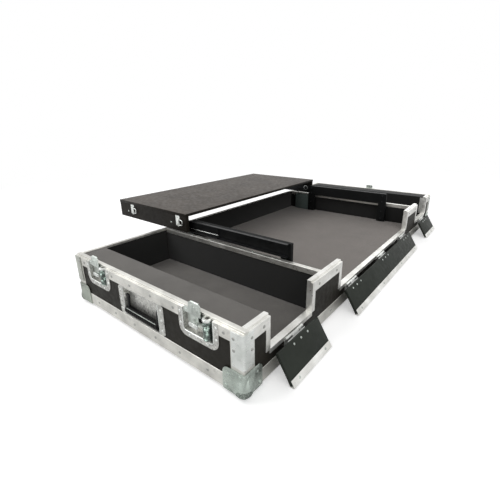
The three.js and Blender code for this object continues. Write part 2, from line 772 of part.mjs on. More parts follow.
function handleDish() {
  const half = HANDLE_WIDTH / 2;
  const top = rimLegBottom - GAP;
  const mouth = [-half + HANDLE_FLANGE, half - HANDLE_FLANGE];
  const tall = [HANDLE_BOTTOM + HANDLE_EDGE, top - HANDLE_EDGE];
  const back = HANDLE_DEPTH - GAP;
  const flange = roundedOutline([-half, half], [HANDLE_BOTTOM, top], HANDLE_ROUND);
  const tubX = [mouth[0] - DISH_SHEET, mouth[1] + DISH_SHEET];
  const tubZ = [tall[0] - DISH_SHEET, tall[1] + DISH_SHEET];
  const shell = join(
    sweep("y", flange, [-SKIN, -GAP]),
    block(tubX, [-SKIN, back + DISH_SHEET], tubZ),
  );
  const hollow = block(mouth, [-OVERRUN, back], tall);
  const earInner = bailHalfWidth + BAIL_STUB + GAP;
  const earZ = [BAIL_PIVOT_HEIGHT - EAR_HEIGHT / 2, BAIL_PIVOT_HEIGHT + EAR_HEIGHT / 2];
  const ears = [-1, 1].map((hand) =>
    block(mirrored(hand, earInner, mouth[1] + GAP), [0, back + GAP], earZ),
  );
  return join(cut(shell, hollow), ...ears);
}

// The bail hangs from its pivots with the grip at the bottom of the dish.
function handleBail() {
  const high = BAIL_PIVOT_HEIGHT;
  const low = high - BAIL_DROP;
  const deep = BAIL_PIVOT_DEPTH;
  const half = bailHalfWidth;
  const arms = [-1, 1].flatMap((hand) => [
    rod([hand * half, GRIP_DEPTH, low], [hand * half, deep, high], BAIL_RADIUS),
    rod([hand * half, deep, high], [hand * (half + BAIL_STUB), deep, high], BAIL_RADIUS),
    ball([hand * half, deep, high], BAIL_RADIUS),
  ]);
  const gripEnd = HANDLE_WIDTH / 2 - HANDLE_FLANGE - GRIP_END_GAP;
  const grip = rod([-gripEnd, GRIP_DEPTH, low], [gripEnd, GRIP_DEPTH, low], GRIP_RADIUS);
  return join(...arms, grip);
}

// Shelf board and skirts
function addShelf() {
  const shelfX = [SHELF_LEFT, SHELF_LEFT + SHELF_WIDTH];
  const half = shelfHalfLength;
  const boardZ = [SHELF_TOP - SHELF_BOARD, SHELF_TOP];
  add(caseGroup, "shelf_board", block(shelfX, [-half, half], boardZ), shelfBoard);
  for (const [name, side] of [["near", -1], ["far", 1]]) {
    const skirtY = mirrored(side, half - SHELF_SKIRT, half);
    const skirt = block(shelfX, skirtY, [SHELF_TOP - SHELF_DEPTH, boardZ[0]]);
    add(caseGroup, `shelf_skirt_${name}`, skirt, shelfBoard);
    addRunners(name, side);
  }
}

// Drawer runners: a carrier board on the divider, then three nested channels
function addRunners(name, side) {
  const skirtFace = shelfHalfLength - SHELF_SKIRT;
  const carrierFace = skirtFace - RUNNER_THICK;
  const left = SHELF_LEFT + RUNNER_INSET;
  const fixed = [left + SHELF_TRAVEL, left + SHELF_TRAVEL + RUNNER_LENGTH];
  const between = fixed.map((x) => x - MIDDLE_TRAVEL);
  const moving = [left, left + RUNNER_LENGTH];
  const outerDepth = RUNNER_THICK - RUNNER_LIP_GAP;
  const innerDepth = RUNNER_THICK - RUNNER_LIP_GAP - RUNNER_SHEET;
  const step = RUNNER_SHEET + GAP;
  const channel = (level, root, tip) => runnerSection(side, level, root, tip);
  const outer = channel(0, carrierFace, carrierFace + outerDepth);
  const middle = channel(step, carrierFace + step, carrierFace + step + innerDepth);
  const inner = channel(step + step, skirtFace, skirtFace - innerDepth);
  add(caseGroup, `runner_outer_${name}`, sweep("x", outer, fixed), steel);
  add(caseGroup, `runner_middle_${name}`, sweep("x", middle, between), steel);
  add(caseGroup, `runner_inner_${name}`, sweep("x", inner, moving), steel);
  addCarrier(name, side, carrierFace, fixed);
}

// A channel section: its web stands at root, its flanges reach to tip.
function runnerSection(side, level, root, tip) {
  const high = RUNNER_HEIGHT / 2 - level;
  const inner = high - RUNNER_SHEET;
  const web = root + Math.sign(tip - root) * RUNNER_SHEET;
  return [
    [root, -high],
    [tip, -high],
    [tip, -inner],
    [web, -inner],
    [web, inner],
    [tip, inner],
    [tip, high],
    [root, high],
  ].map(([y, z]) => [side * y, RUNNER_CENTRE + z]);
}

// The board that holds a runner above the rim, on two legs spaced off the divider.
function addCarrier(name, side, face, fixed) {
  const y = mirrored(side, face - CARRIER, face);
  const x = [fixed[0], fixed[1] + CARRIER_EXTRA];
  const footing = MIDDLE_FLOOR_HEIGHT + GAP;
  const legs = [[x[0], x[0] + CARRIER_LEG], [x[1] - CARRIER_LEG, x[1]]];
  const spacerY = mirrored(side, face - GAP, dividerInnerY - GAP);
  const board = join(
    block(x, y, [CARRIER_BOTTOM, CARRIER_TOP]),
    ...legs.map((leg) => block(leg, y, [footing, CARRIER_TOP])),
    ...legs.map((leg) => block(leg, spacerY, [footing, CARRIER_SPACER_TOP])),
  );
  add(caseGroup, `carrier_${name}`, board, lining);
}

// Catches on the near skirt: a plate, and a loop hinged at its side
function addCatches() {
  const face = -shelfHalfLength;
  CATCH_PLACES.forEach((place, index) => {
    const x = SHELF_LEFT + place;
    const plateX = [x - CATCH_WIDTH / 2, x + CATCH_WIDTH / 2];
    const top = SHELF_TOP - CATCH_DROP;
    const plateY = [face - CATCH_SHEET, face];
    const plate = block(plateX, plateY, [top - CATCH_HEIGHT, top]);
    const eyeX = plateX[1];
    const eyeY = face - LOOP_EYE;
    const low = top - CATCH_HEIGHT + LOOP_RISE;
    const high = low + LOOP_HEIGHT;
    const pin = rod([eyeX, eyeY, low], [eyeX, eyeY, high], LOOP_ROD / 2);
    const lugZ = [[low - LOOP_RISE, low], [high, high + LOOP_RISE]];
    const lugX = [eyeX - LOOP_EYE, eyeX + LOOP_ROD];
    const lugs = lugZ.map((z) => block(lugX, [eyeY - LOOP_ROD, face], z));
    add(caseGroup, `catch_plate_${index + 1}`, join(plate, pin, ...lugs), steel);
    add(caseGroup, `catch_loop_${index + 1}`, catchLoop(eyeX, eyeY, low, high), steel);
  });
}

// A flat loop whose barrel turns on the catch's pin.
function catchLoop(x, y, low, high) {
  const wide = [x, x + LOOP_WIDTH];
  const tall = [low + GAP, high - GAP];
  const rounded = [false, true, true, false];
  const thick = [y - LOOP_ROD / 2 - GAP, y + LOOP_ROD / 2];
  const outline = roundedOutline(wide, tall, LOOP_ROUND, rounded);
  const holeX = [x + LOOP_ROD, x + LOOP_WIDTH - LOOP_ROD];
  const holeZ = [tall[0] + LOOP_ROD, tall[1] - LOOP_ROD];
  const hole = roundedOutline(holeX, holeZ, LOOP_ROUND - LOOP_ROD, rounded);
  const barrel = rod([x, y, tall[0]], [x, y, tall[1]], LOOP_ROD);
  const bore = rod([x, y, low - OVERRUN], [x, y, high + OVERRUN], LOOP_ROD / 2 + GAP);
  const plate = cut(sweep("y", outline, thick), sweep("y", hole, [y - OVERRUN, y + OVERRUN]));
  return cut(join(plate, barrel), bore);
}

addPanels();
addDividers();
addLinings();
addAngles();
addRims();
addCutoutTrims();
addBallCorners();
addFlaps();
addLatches();
addHandle();
addShelf();
addCatches();

export default caseGroup;
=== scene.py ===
"""Dresses the open equipment case: finishes, fastenings, hardware and the studio.

A piece is made in millimetres, moved to its place in its mesh, and enters the scene in metres.
"""

import logging
import math
from dataclasses import dataclass, field
from enum import Enum
from typing import Iterable, Sequence

import bmesh
import bpy
from mathutils import Matrix, Vector


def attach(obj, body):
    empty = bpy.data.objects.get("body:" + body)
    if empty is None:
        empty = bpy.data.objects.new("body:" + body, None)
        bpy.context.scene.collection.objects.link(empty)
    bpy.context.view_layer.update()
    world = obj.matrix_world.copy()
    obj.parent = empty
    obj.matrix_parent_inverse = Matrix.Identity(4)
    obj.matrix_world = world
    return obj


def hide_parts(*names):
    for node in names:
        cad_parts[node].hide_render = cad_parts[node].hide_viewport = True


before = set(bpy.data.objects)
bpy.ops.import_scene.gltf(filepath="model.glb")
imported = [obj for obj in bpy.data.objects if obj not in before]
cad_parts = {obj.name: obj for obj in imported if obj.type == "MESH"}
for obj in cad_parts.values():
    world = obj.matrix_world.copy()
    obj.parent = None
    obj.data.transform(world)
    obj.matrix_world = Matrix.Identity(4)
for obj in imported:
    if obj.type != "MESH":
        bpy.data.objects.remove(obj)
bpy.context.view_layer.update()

log = logging.getLogger("case")

Point = Sequence[float]
Pair = tuple[float, float]
Triple = tuple[float, float, float]
Colour = tuple[float, float, float, float]
Profile = Sequence[Pair]
Socket = bpy.types.NodeSocket
Feeds = dict[str | int, float | Point | Socket]
Part = bmesh.types.BMesh

MM = 0.001
ENDS = {"near": -1, "far": 1}
HANDS = {"left": -1, "right": 1}
UP = (0, 0, 1)
TO_FRONT = (0, -1, 0)
NO_STRETCH = (1.0, 1.0, 1.0)
NO_OFFSET = (0.0, 0.0, 0.0)

CLOUD_DETAIL = 4.0
CLOUD_LIFT = 0.6
WEAR_DETAIL = 5.0
NOISE_MIDDLE = (0.3, 0.7)

MERGE_DISTANCE = 0.001
WELD_METRES = 0.00001
FLAT_ANGLE = math.radians(1)
SOFT_ANGLE = math.radians(35)
SHARP_ANGLE = 0.5
SHADING_ANGLE = math.radians(38)
CURVE_STEPS = 7
HEAD_STEPS = 14
ROD_STEPS = 24
RING_STEPS = 32
RIVET_HEAD = (
    (0.0, -0.6),
    (1.0, -0.6),
    (1.0, 0.25),
    (0.86, 0.85),
    (0.5, 1.25),
    (0.36, 1.2),
    (0.3, 0.7),
    (0.0, 0.6),
)
SCREW_HEAD = ((0.0, -0.5), (1.0, -0.5), (1.0, 0.3), (0.8, 1.1), (0.42, 1.5), (0.3, 0.5), (0.0, 0.2))


@dataclass(frozen=True)
class Tint:
    """A noise that tints a surface, as strongly as its shares say over a span of its value."""

    scale: float
    detail: float
    span: Pair
    shares: Pair
    gain: float
    stretch: Triple = NO_STRETCH
    offset: Triple = NO_OFFSET
    brushed: bool = False


@dataclass(frozen=True)
class Recipe:
    """How a kind of surface is made, with its patterns' scales in cells per metre.

    The wear is a scale and how far the roughness falls and rises, and the grain is the scale
    and the detail of the relief, which is made of pebbles where the recipe has them.
    """

    clouds: float
    tints: tuple[Tint, ...] = ()
    wear: Triple | None = None
    grain: Pair = (0.0, 0.0)
    pebbles: float = 0.0
    metallic: float = 0.0
    sheen: float = 0.0


class Surface(Enum):
    """The kinds of surface that a finish can have."""

    # Satin metal: fine lines along its stretch, and smudges.
    METAL = Recipe(
        clouds=22.0,
        tints=(
            Tint(1100.0, 2.0, span=(0.35, 0.65), shares=(0.0, 0.3), gain=0.84, brushed=True),
            Tint(
                60.0, 6.0, span=(0.6, 0.75), shares=(0.0, 0.35), gain=0.66, offset=(3.1, 1.7, 0.4)
            ),
        ),
        wear=(140.0, 0.07, 0.12),
        grain=(1100.0, 2.0),
        metallic=0.88,
    )
    # Plated steel: a fine spangle of dark grains and bright glints, with a faint ripple.
    PLATED = Recipe(
        clouds=34.0,
        tints=(
            Tint(
                170.0, 6.0, span=(0.44, 0.6), shares=(0.0, 0.36), gain=0.62, offset=(1.3, 0.2, 2.1)
            ),
            Tint(260.0, 3.0, span=(0.6, 0.7), shares=(0.0, 0.7), gain=1.2, offset=(0.6, 4.0, 1.9)),
        ),
        wear=(120.0, 0.08, 0.12),
        grain=(90.0, 4.0),
        metallic=0.6,
    )
    # Mirrored plate: the zinc's own greenish tint, darkened into a painted reflection of the dark
    # dish around it, with bright blotches that are painted glints.
    PAINTED_REFLECTION = Recipe(
        clouds=34.0,
        tints=(
            Tint(
                190.0,
                3.0,
                span=(0.52, 0.6),
                shares=(0.0, 0.9),
                gain=2.2,
                stretch=(1.0, 1.0, 0.6),
                offset=(2.2, 0.7, 1.5),
            ),
        ),
        wear=(120.0, 0.08, 0.12),
        grain=(240.0, 3.0),
        metallic=0.6,
    )
    # Laminated board: a pebbled skin with faint scuffs along the case.
    LAMINATE = Recipe(
        clouds=14.0,
        tints=(
            Tint(
                30.0,
                8.0,
                span=(0.62, 0.8),
                shares=(0.0, 0.4),
                gain=1.4,
                stretch=(1.0, 0.25, 1.0),
                offset=(0.7, 2.2, 1.1),
            ),
        ),
        wear=(90.0, 0.08, 0.1),
        pebbles=520.0,
    )
    # Needle felt: dark and light fibres in a matted, uneven pile.
    FELT = Recipe(
        clouds=16.0,
        tints=(
            Tint(1300.0, 3.0, span=(0.38, 0.62), shares=(1.0, 0.0), gain=0.72),
            Tint(
                900.0,
                2.0,
                span=(0.6, 0.72),
                shares=(0.0, 0.5),
                gain=1.3,
                stretch=(1.0, 2.5, 1.0),
                offset=(5.0, 0.3, 0.9),
            ),
        ),
        grain=(1000.0, 4.0),
        sheen=0.2,
    )
    # Moulded or coated black: an even skin with a fine orange peel.
    MOULDED = Recipe(clouds=30.0, wear=(200.0, 0.06, 0.08), grain=(1500.0, 2.0))


def linear(colour: Sequence[int], gain: float) -> Colour:
    """Turns a displayed colour into the linear one that a shader takes.

    Args:
        colour: Red, green and blue from 0 to 255.
        gain: A factor on the displayed brightness.

    Returns:
        The linear colour with full alpha.
    """
    parts = [min(1.0, value / 255 * gain) for value in colour]
    curve = [v / 12.92 if v <= 0.04045 else ((v + 0.055) / 1.055) ** 2.4 for v in parts]
    return (curve[0], curve[1], curve[2], 1.0)


class NodeTree:
    """The node tree of a material or a world."""

    def __init__(self, owner: bpy.types.Material | bpy.types.World) -> None:
        """Turns on the owner's nodes.

        Args:
            owner: The material or world.
        """
        owner.use_nodes = True
        self.nodes = owner.node_tree.nodes
        self.links = owner.node_tree.links

    def feed(self, node: bpy.types.Node, feeds: Feeds) -> None:
        """Feeds a node's sockets.

        Args:
            node: The node.
            feeds: A value, or the socket to link, for each input by name or number.
        """
        for socket, value in feeds.items():
            if isinstance(value, Socket):
                self.links.new(value, node.inputs[socket])
            else:
                node.inputs[socket].default_value = value

    def add(self, kind: str, feeds: Feeds) -> bpy.types.Node:
        """Adds a node.

        Args:
            kind: Its type, without the prefix.
            feeds: What its inputs get.

        Returns:
            The node.
        """
        node = self.nodes.new(f"ShaderNode{kind}")
        self.feed(node, feeds)
        return node

    def spread(self, value: Socket, span: Pair, result: Pair) -> Socket:
        """Maps a span of a value onto another.

        Args:
            value: The value to map.
            span: Where the span starts and ends.
            result: What its start and its end become.

        Returns:
            The mapped value, kept within the result's span.
        """
        feeds = {"Value": value, "From Min": span[0], "From Max": span[1]}
        node = self.add("MapRange", feeds | {"To Min": result[0], "To Max": result[1]})
        return node.outputs["Result"]


class Coat(NodeTree):
    """The node tree of one material, on object coordinates in metres."""

    COLOUR_INPUTS = (6, 7)
    COLOUR_OUTPUT = 2

    def __init__(self, name: str) -> None:
        """Makes a material with a plain shader.

        Args:
            name: The material's name.
        """
        self.material = bpy.data.materials.new(name)
        super().__init__(self.material)
        self.shader = self.nodes["Principled BSDF"]
        self.place = self.add("TexCoord", {}).outputs["Object"]

    def noise(
        self, scale: float, detail: float, stretch: Point = NO_STRETCH, offset: Point = NO_OFFSET
    ) -> Socket:
        """Adds a noise pattern.

        Args:
            scale: Cells per metre.
            detail: Octaves of finer noise.
            stretch: How much the pattern is squeezed along each axis.
            offset: Shift of the pattern, in metres.

        Returns:
            The noise value.
        """
        mapping = self.add("Mapping", {"Vector": self.place, "Scale": stretch, "Location": offset})
        feeds = {"Vector": mapping.outputs["Vector"], "Scale": scale, "Detail": detail}
        return self.add("TexNoise", feeds).outputs["Fac"]

    def cells(self, scale: float) -> Socket:
        """Adds a cell pattern and returns the distance from the cells' centres."""
        return self.add("TexVoronoi", {"Vector": self.place, "Scale": scale}).outputs["Distance"]

    def blend(self, share: Socket, first: Colour | Socket, second: Colour) -> Socket:
        """Mixes two colours.

        Args:
            share: How much of the second colour shows.
            first: A colour or a socket.
            second: A colour.

        Returns:
            The mixed colour.
        """
        node = self.add("Mix", {})
        node.data_type = "RGBA"
        lower, upper = self.COLOUR_INPUTS
        self.feed(node, {"Factor": share, lower: first, upper: second})
        return node.outputs[self.COLOUR_OUTPUT]

    def relief(self, height: Socket, depth: float) -> Socket:
        """Turns a height into the surface's normal.

        Args:
            height: The value that raises the surface.
            depth: The relief's depth, in metres.

        Returns:
            The normal.
        """
        bump = self.add("Bump", {"Strength": 1.0, "Distance": depth, "Height": height})
        return bump.outputs["Normal"]


@dataclass(frozen=True)
class Finish:
    """One finish of the case: its colour, gloss, grain and relief."""

    name: str
    colour: tuple[int, int, int]
    roughness: float
    surface: Surface = Surface.METAL
    slot: str = "hardware"
    gloss: float = 0.5
    stretch: Triple = NO_STRETCH
    cloud: float = 0.12
    relief: float = 0.00005

    def material(self) -> bpy.types.Material:
        """Makes the material at its first use.

        Returns:
            The finish's material.
        """
        known = bpy.data.materials.get(self.name)
        if known is not None:
            return known
        coat, recipe = Coat(self.name), self.surface.value
        if recipe.pebbles:
            height = coat.cells(recipe.pebbles)
        else:
            height = coat.noise(*recipe.grain, self.stretch)
        feeds = {
            "Base Color": self._coloured(coat, recipe),
            "Normal": coat.relief(height, self.relief),
            "Roughness": self.roughness,
            "Metallic": recipe.metallic,
            "Sheen Weight": recipe.sheen,
            "Specular IOR Level": self.gloss,
        }
        if recipe.wear:
            scale, fall, rise = recipe.wear
            span = (self.roughness - fall, self.roughness + rise)
            worn = coat.noise(scale, WEAR_DETAIL)
            feeds["Roughness"] = coat.spread(worn, NOISE_MIDDLE, span)
        coat.feed(coat.shader, feeds)
        return coat.material

    def _coloured(self, coat: Coat, recipe: Recipe) -> Socket:
        """Builds the colour: slow clouds of brightness with the surface's tints over them.

        Args:
            coat: The material's nodes.
            recipe: The surface's recipe.

        Returns:
            The colour.
        """
        slow = coat.noise(recipe.clouds, CLOUD_DETAIL)
        dark = linear(self.colour, 1 - self.cloud)
        light = linear(self.colour, 1 + self.cloud * CLOUD_LIFT)
        colour = coat.blend(coat.spread(slow, NOISE_MIDDLE, (0.0, 1.0)), dark, light)
        for tint in recipe.tints:
            stretch = self.stretch if tint.brushed else tint.stretch
            pattern = coat.noise(tint.scale, tint.detail, stretch, tint.offset)
            share = coat.spread(pattern, tint.span, tint.shares)
            colour = coat.blend(share, colour, linear(self.colour, tint.gain))
        return colour


ALONG_X = {"slot": "edging", "stretch": (0.02, 1.0, 1.0)}
ALONG_Y = {"slot": "edging", "stretch": (1.0, 0.02, 1.0)}
ALUMINIUM = (224, 223, 217)
ALUMINIUM_X = Finish("aluminium_along_x", ALUMINIUM, 0.34, **ALONG_X)
ALUMINIUM_Y = Finish("aluminium_along_y", ALUMINIUM, 0.34, **ALONG_Y)
# A brighter copy of the aluminium for the trims and flap edges, so that they read white all through
# where the lamps leave them shaded: painted light.
TRIM_ALUMINIUM = Finish("aluminium_trim", (242, 241, 235), 0.34, **ALONG_Y)
ZINC = Finish("zinc_plate", (196, 203, 197), 0.3, cloud=0.2)
# A lighter zinc for the right ball corners and a darker copy for the left ones: painted light on
# the right, painted shade on the left.
CORNER_ZINC = Finish("zinc_corner", (192, 202, 194), 0.25, cloud=0.24)
SHADED_CORNER_ZINC = Finish("zinc_corner_painted_shade", (164, 170, 161), 0.34, cloud=0.2)
HOOK_ZINC = Finish("zinc_hook", (212, 219, 213), 0.3, cloud=0.2)
# A lighter zinc for the right braces and a darker copy for the left ones: painted light on the
# right, painted shade on the left.
PALE_ZINC = Finish("zinc_pale", (234, 240, 234), 0.3, cloud=0.14)
SHADED_BRACE_ZINC = Finish("zinc_brace_painted_shade", (188, 191, 183), 0.36, cloud=0.2)
BRIGHT_ZINC = Finish("zinc_polished", (230, 233, 230), 0.2)
DULL_ZINC = Finish("zinc_dull", (172, 173, 169), 0.36, cloud=0.1)
BLACK_ZINC = Finish("zinc_black", (42, 43, 44), 0.36, cloud=0.1)
LEAF_STEEL = Finish("leaf_steel", (214, 216, 213), 0.4, cloud=0.14)
SPANGLED_ZINC = Finish(
    "zinc_spangled", (206, 206, 201), 0.3, Surface.PLATED, cloud=0.1, relief=0.0004
)
# The barrel's zinc: a greenish tint of its own, made dark as a painted reflection of the dish, with
# painted glints.
GREEN_ZINC = Finish(
    "zinc_green_painted_reflection", (92, 102, 97), 0.26, Surface.PAINTED_REFLECTION, cloud=0.3, relief=0.0003
)
PLYWOOD = Finish(
    "laminated_ply", (33, 31, 26), 0.5, Surface.LAMINATE, "panel", gloss=0.15, relief=0.0001
)
FLAP_SKIN = Finish(
    "flap_laminate", (46, 50, 45), 0.5, Surface.LAMINATE, "flap", gloss=0.12, relief=0.00008
)
SHELF_SKIN = Finish(
    "shelf_laminate", (72, 66, 60), 0.42, Surface.LAMINATE, "shelf", gloss=0.1, relief=0.00004
)
SHELF_EDGE = Finish(
    "shelf_skirt", (31, 28, 24), 0.48, Surface.LAMINATE, "shelf", gloss=0.12, relief=0.00006
)
CLEAT_GREY = Finish("grey_stain", (84, 93, 91), 0.6, Surface.LAMINATE, "lining", gloss=0.1)
LINING = Finish(
    "black_lining", (36, 36, 35), 0.95, Surface.FELT, "lining", gloss=0.1, relief=0.0003
)
PILE = {"surface": Surface.FELT, "slot": "carpet", "gloss": 0.1, "relief": 0.0006}
CARPET = Finish("grey_felt", (136, 130, 125), 0.97, cloud=0.05, **PILE)
# A darker copy of the grey felt, for the end bays' pads and the near end block.
DARKER_CARPET = Finish("grey_felt_darker", (116, 113, 109), 0.97, cloud=0.1, **PILE)
BLACK_PAINT = Finish("carrier_black", (17, 18, 18), 0.6, Surface.MOULDED, "lining", gloss=0.1)
# The bail's black coat, which also darkens the dish's left end as painted shade.
BLACK_COAT = Finish("bail_coating", (15, 15, 16), 0.36, Surface.MOULDED, "grip", gloss=0.3)
BLACK_RUBBER = Finish("grip_rubber", (8, 8, 8), 0.4, Surface.MOULDED, "grip", gloss=0.12)


def vertices_of(geometry: Iterable[object]) -> list[bmesh.types.BMVert]:
    """Picks the vertices out of what an operator gives back."""
    return [item for item in geometry if isinstance(item, bmesh.types.BMVert)]


def stood(origin: Point, axis: Point) -> Matrix:
    """Returns the move that stands a part at an origin with its height along an axis."""
    turn = Vector(axis).to_track_quat("Z", "Y").to_matrix().to_4x4()
    return Matrix.Translation(origin) @ turn


def round_edges(part: Part, width: float) -> None:
    """Rounds every sharp edge of a part.

    Args:
        part: The part to round.
        width: The rounding's width.
    """
    sharp = [e for e in part.edges if e.is_manifold and e.calc_face_angle(0.0) > SHARP_ANGLE]
    if width and sharp:
        bmesh.ops.bevel(
            part,
            geom=sharp,
            offset=width,
            offset_type="OFFSET",
            segments=2,
            profile=0.5,
            affect="EDGES",
            material=-1,
            clamp_overlap=True,
        )


def round_corner(part: Part, corner: bmesh.types.BMVert, radius: float) -> None:
    """Rounds one corner of a flat outline.

    Args:
        part: The outline.
        corner: The corner's vertex.
        radius: The rounding's radius.
    """
    bmesh.ops.bevel(
        part,
        geom=[corner],
        offset=radius,
        offset_type="OFFSET",
        segments=CURVE_STEPS,
        profile=0.5,
        affect="VERTICES",
        material=-1,
    )


def filleted(points: Sequence[Point], radius: float) -> list[Vector]:
    """Rounds the inner corners of a wire's path.

    Args:
        points: The path's corners.
        radius: How far from each corner its curve starts.

    Returns:
        The path with curved corners.
    """
    corners = [Vector(p) for p in points]
    path = [corners[0]]
    for before, corner, after in zip(corners, corners[1:], corners[2:]):
        start = corner + (before - corner).normalized() * radius
        end = corner + (after - corner).normalized() * radius
        for step in range(CURVE_STEPS + 1):
            t = step / CURVE_STEPS
            path.append(start.lerp(corner, t).lerp(corner.lerp(end, t), t))
    path.append(corners[-1])
    return path


def ribbed(span: Pair, ribs: int, radii: Pair, edges: Pair) -> list[Pair]:
    """Draws the profile of a ribbed length of a turned part.

    Args:
        span: The heights at which the ribs start and end.
        ribs: How many they are.
        radii: The radius between them and on them.
        edges: How far a rib's foot and its crest lie from its end.

    Returns:
        Radius and height of each point.
    """
    (start, end), (root, crest), (foot, top) = span, radii, edges
    profile = []
    for index in range(ribs):
        low = start + (end - start) * index / ribs
        high = start + (end - start) * (index + 1) / ribs
        profile += [(root, low + foot), (crest, low + top)]
        profile += [(crest, high - top), (root, high - foot)]
    return profile


@dataclass
class Workpiece:
    """A piece in the making that rides on a body, and may stand for nodes of the CAD model."""

    name: str
    body: str
    finish: Finish
    stands_for: tuple[str, ...] = ()
    mesh: Part = field(default_factory=bmesh.new)

    def take(self, part: Part) -> None:
        """Adds a finished part to the piece and frees it.

        Args:
            part: The part.
        """
        bmesh.ops.recalc_face_normals(part, faces=part.faces)
        holder = bpy.data.meshes.new("holder")
        part.to_mesh(holder)
        part.free()
        self.mesh.from_mesh(holder)
        bpy.data.meshes.remove(holder)

    def box(self, low: Point, high: Point, edge: float) -> None:
        """Adds a box with rounded edges between two corners.

        Args:
            low: Its lowest corner.
            high: Its highest corner.
            edge: The rounding of its edges.
        """
        part = bmesh.new()
        bmesh.ops.create_cube(part, size=1.0)
        bmesh.ops.scale(part, vec=Vector(high) - Vector(low), verts=part.verts)
        bmesh.ops.translate(part, vec=(Vector(high) + Vector(low)) / 2, verts=part.verts)
        round_edges(part, edge)
        self.take(part)

    def plate(
        self, axis: str, span: Point, u: Point, v: Point, radii: Sequence[float], edge: float
    ) -> None:
        """Adds a flat plate with rounded corners.

        Args:
            axis: The axis across the plate: x, y or z.
            span: Where the plate starts and ends on that axis.
            u: Its lowest and highest place on the first other axis.
            v: Its lowest and highest place on the second other axis.
            radii: Roundings at low-low, high-low, high-high and low-high.
            edge: The rounding of its sharp edges.
        """
        index = "xyz".index(axis)
        part = bmesh.new()
        corners = []
        for pair in ((u[0], v[0]), (u[1], v[0]), (u[1], v[1]), (u[0], v[1])):
            place = list(pair)
            place.insert(index, span[0])
            corners.append(part.verts.new(place))
        part.faces.new(corners)
        for corner, radius in zip(corners, radii):
            if radius:
                round_corner(part, corner, radius)
        drawn = bmesh.ops.extrude_face_region(part, geom=part.faces[:])
        shift = Vector((0.0, 0.0, 0.0))
        shift[index] = span[1] - span[0]
        bmesh.ops.translate(part, vec=shift, verts=vertices_of(drawn["geom"]))
        bmesh.ops.recalc_face_normals(part, faces=part.faces)
        round_edges(part, edge)
        self.take(part)

    def lathe(self, profile: Profile, origin: Point, axis: Point, steps: int) -> None:
        """Adds a turned part.

        Args:
            profile: Radius and height of each point, from the axis back to the axis.
            origin: Where the part's zero height lies.
            axis: The way its height runs.
            steps: Faces around it.
        """
        part = bmesh.new()
        line = [part.verts.new((radius, 0.0, height)) for radius, height in profile]
        edges = [part.edges.new(pair) for pair in zip(line, line[1:])]
        bmesh.ops.spin(
            part,
            geom=line + edges,
            cent=(0, 0, 0),
            axis=UP,
            dvec=(0, 0, 0),
            angle=math.tau,
            steps=steps,
            use_merge=True,
            use_normal_flip=False,
            use_duplicate=False,
        )
        bmesh.ops.remove_doubles(part, verts=part.verts, dist=MERGE_DISTANCE)
        bmesh.ops.transform(part, matrix=stood(origin, axis), verts=part.verts)
        self.take(part)

    def ring(self, origin: Point, axis: Point, inner: float, outer: float, high: float) -> None:
        """Adds a flat ring with softened edges.

        Args:
            origin: The middle of its foot.
            axis: The way it stands.
            inner: The radius of its hole.
            outer: Its outer radius.
            high: Its height.
        """
        soft = min(high, outer - inner) * 0.3
        profile = [(inner, 0.0), (outer, 0.0), (outer, high - soft), (outer - soft, high)]
        profile += [(inner + soft, high), (inner, high - soft), (inner, 0.0)]
        self.lathe(profile, origin, axis, RING_STEPS)

    def rod(self, start: Point, end: Point, radius: float, edge: float = 0.3) -> None:
        """Adds a round bar with softened ends.

        Args:
            start: The middle of one end.
            end: The middle of the other.
            radius: The bar's radius.
            edge: How much of each end is softened.
        """
        axis = Vector(end) - Vector(start)
        soft, length = radius - edge, axis.length
        profile = [(0.0, 0.0), (soft, 0.0), (radius, edge), (radius, length - edge)]
        profile += [(soft, length), (0.0, length)]
        self.lathe(profile, start, axis, ROD_STEPS)

    def wire(self, path: Sequence[Point], radius: float) -> None:
        """Adds a round wire along a path.

        Args:
            path: The points that the wire follows.
            radius: The wire's radius.
        """
        curve = bpy.data.curves.new("wire", "CURVE")
        curve.dimensions = "3D"
        curve.bevel_depth = radius
        curve.bevel_resolution = 4
        curve.use_fill_caps = True
        spline = curve.splines.new("POLY")
        spline.points.add(len(path) - 1)
        for point, place in zip(spline.points, path):
            point.co = (*place, 1.0)
        holder = bpy.data.objects.new("wire", curve)
        mesh = bpy.data.meshes.new_from_object(holder)
        part = bmesh.new()
        part.from_mesh(mesh)
        bmesh.ops.remove_doubles(part, verts=part.verts, dist=MERGE_DISTANCE)
        self.take(part)
        bpy.data.objects.remove(holder)
        bpy.data.curves.remove(curve)
        bpy.data.meshes.remove(mesh)

    def head(self, shape: Profile, place: Point, outward: Point, size: float) -> None:
        """Adds the head of a fixing.

        Args:
            shape: Its profile, with radii as shares of its size.
            place: Where it stands on the surface.
            outward: The way it faces.
            size: Its radius.
        """
        profile = [(radius * size, height) for radius, height in shape]
        self.lathe(profile, place, outward, HEAD_STEPS)

    def rivet(self, place: Point, outward: Point, size: float) -> None:
        """Adds a blind rivet: a low domed head with the end of its pin in a dimple."""
        self.head(RIVET_HEAD, place, outward, size)

    def screw(self, place: Point, outward: Point, size: float) -> None:
        """Adds a pan-head screw: a dome with a sunk drive."""
        self.head(SCREW_HEAD, place, outward, size)

    def turn(self, matrix: Matrix) -> None:
        """Moves all that the piece has so far."""
        bmesh.ops.transform(self.mesh, matrix=matrix, verts=self.mesh.verts)

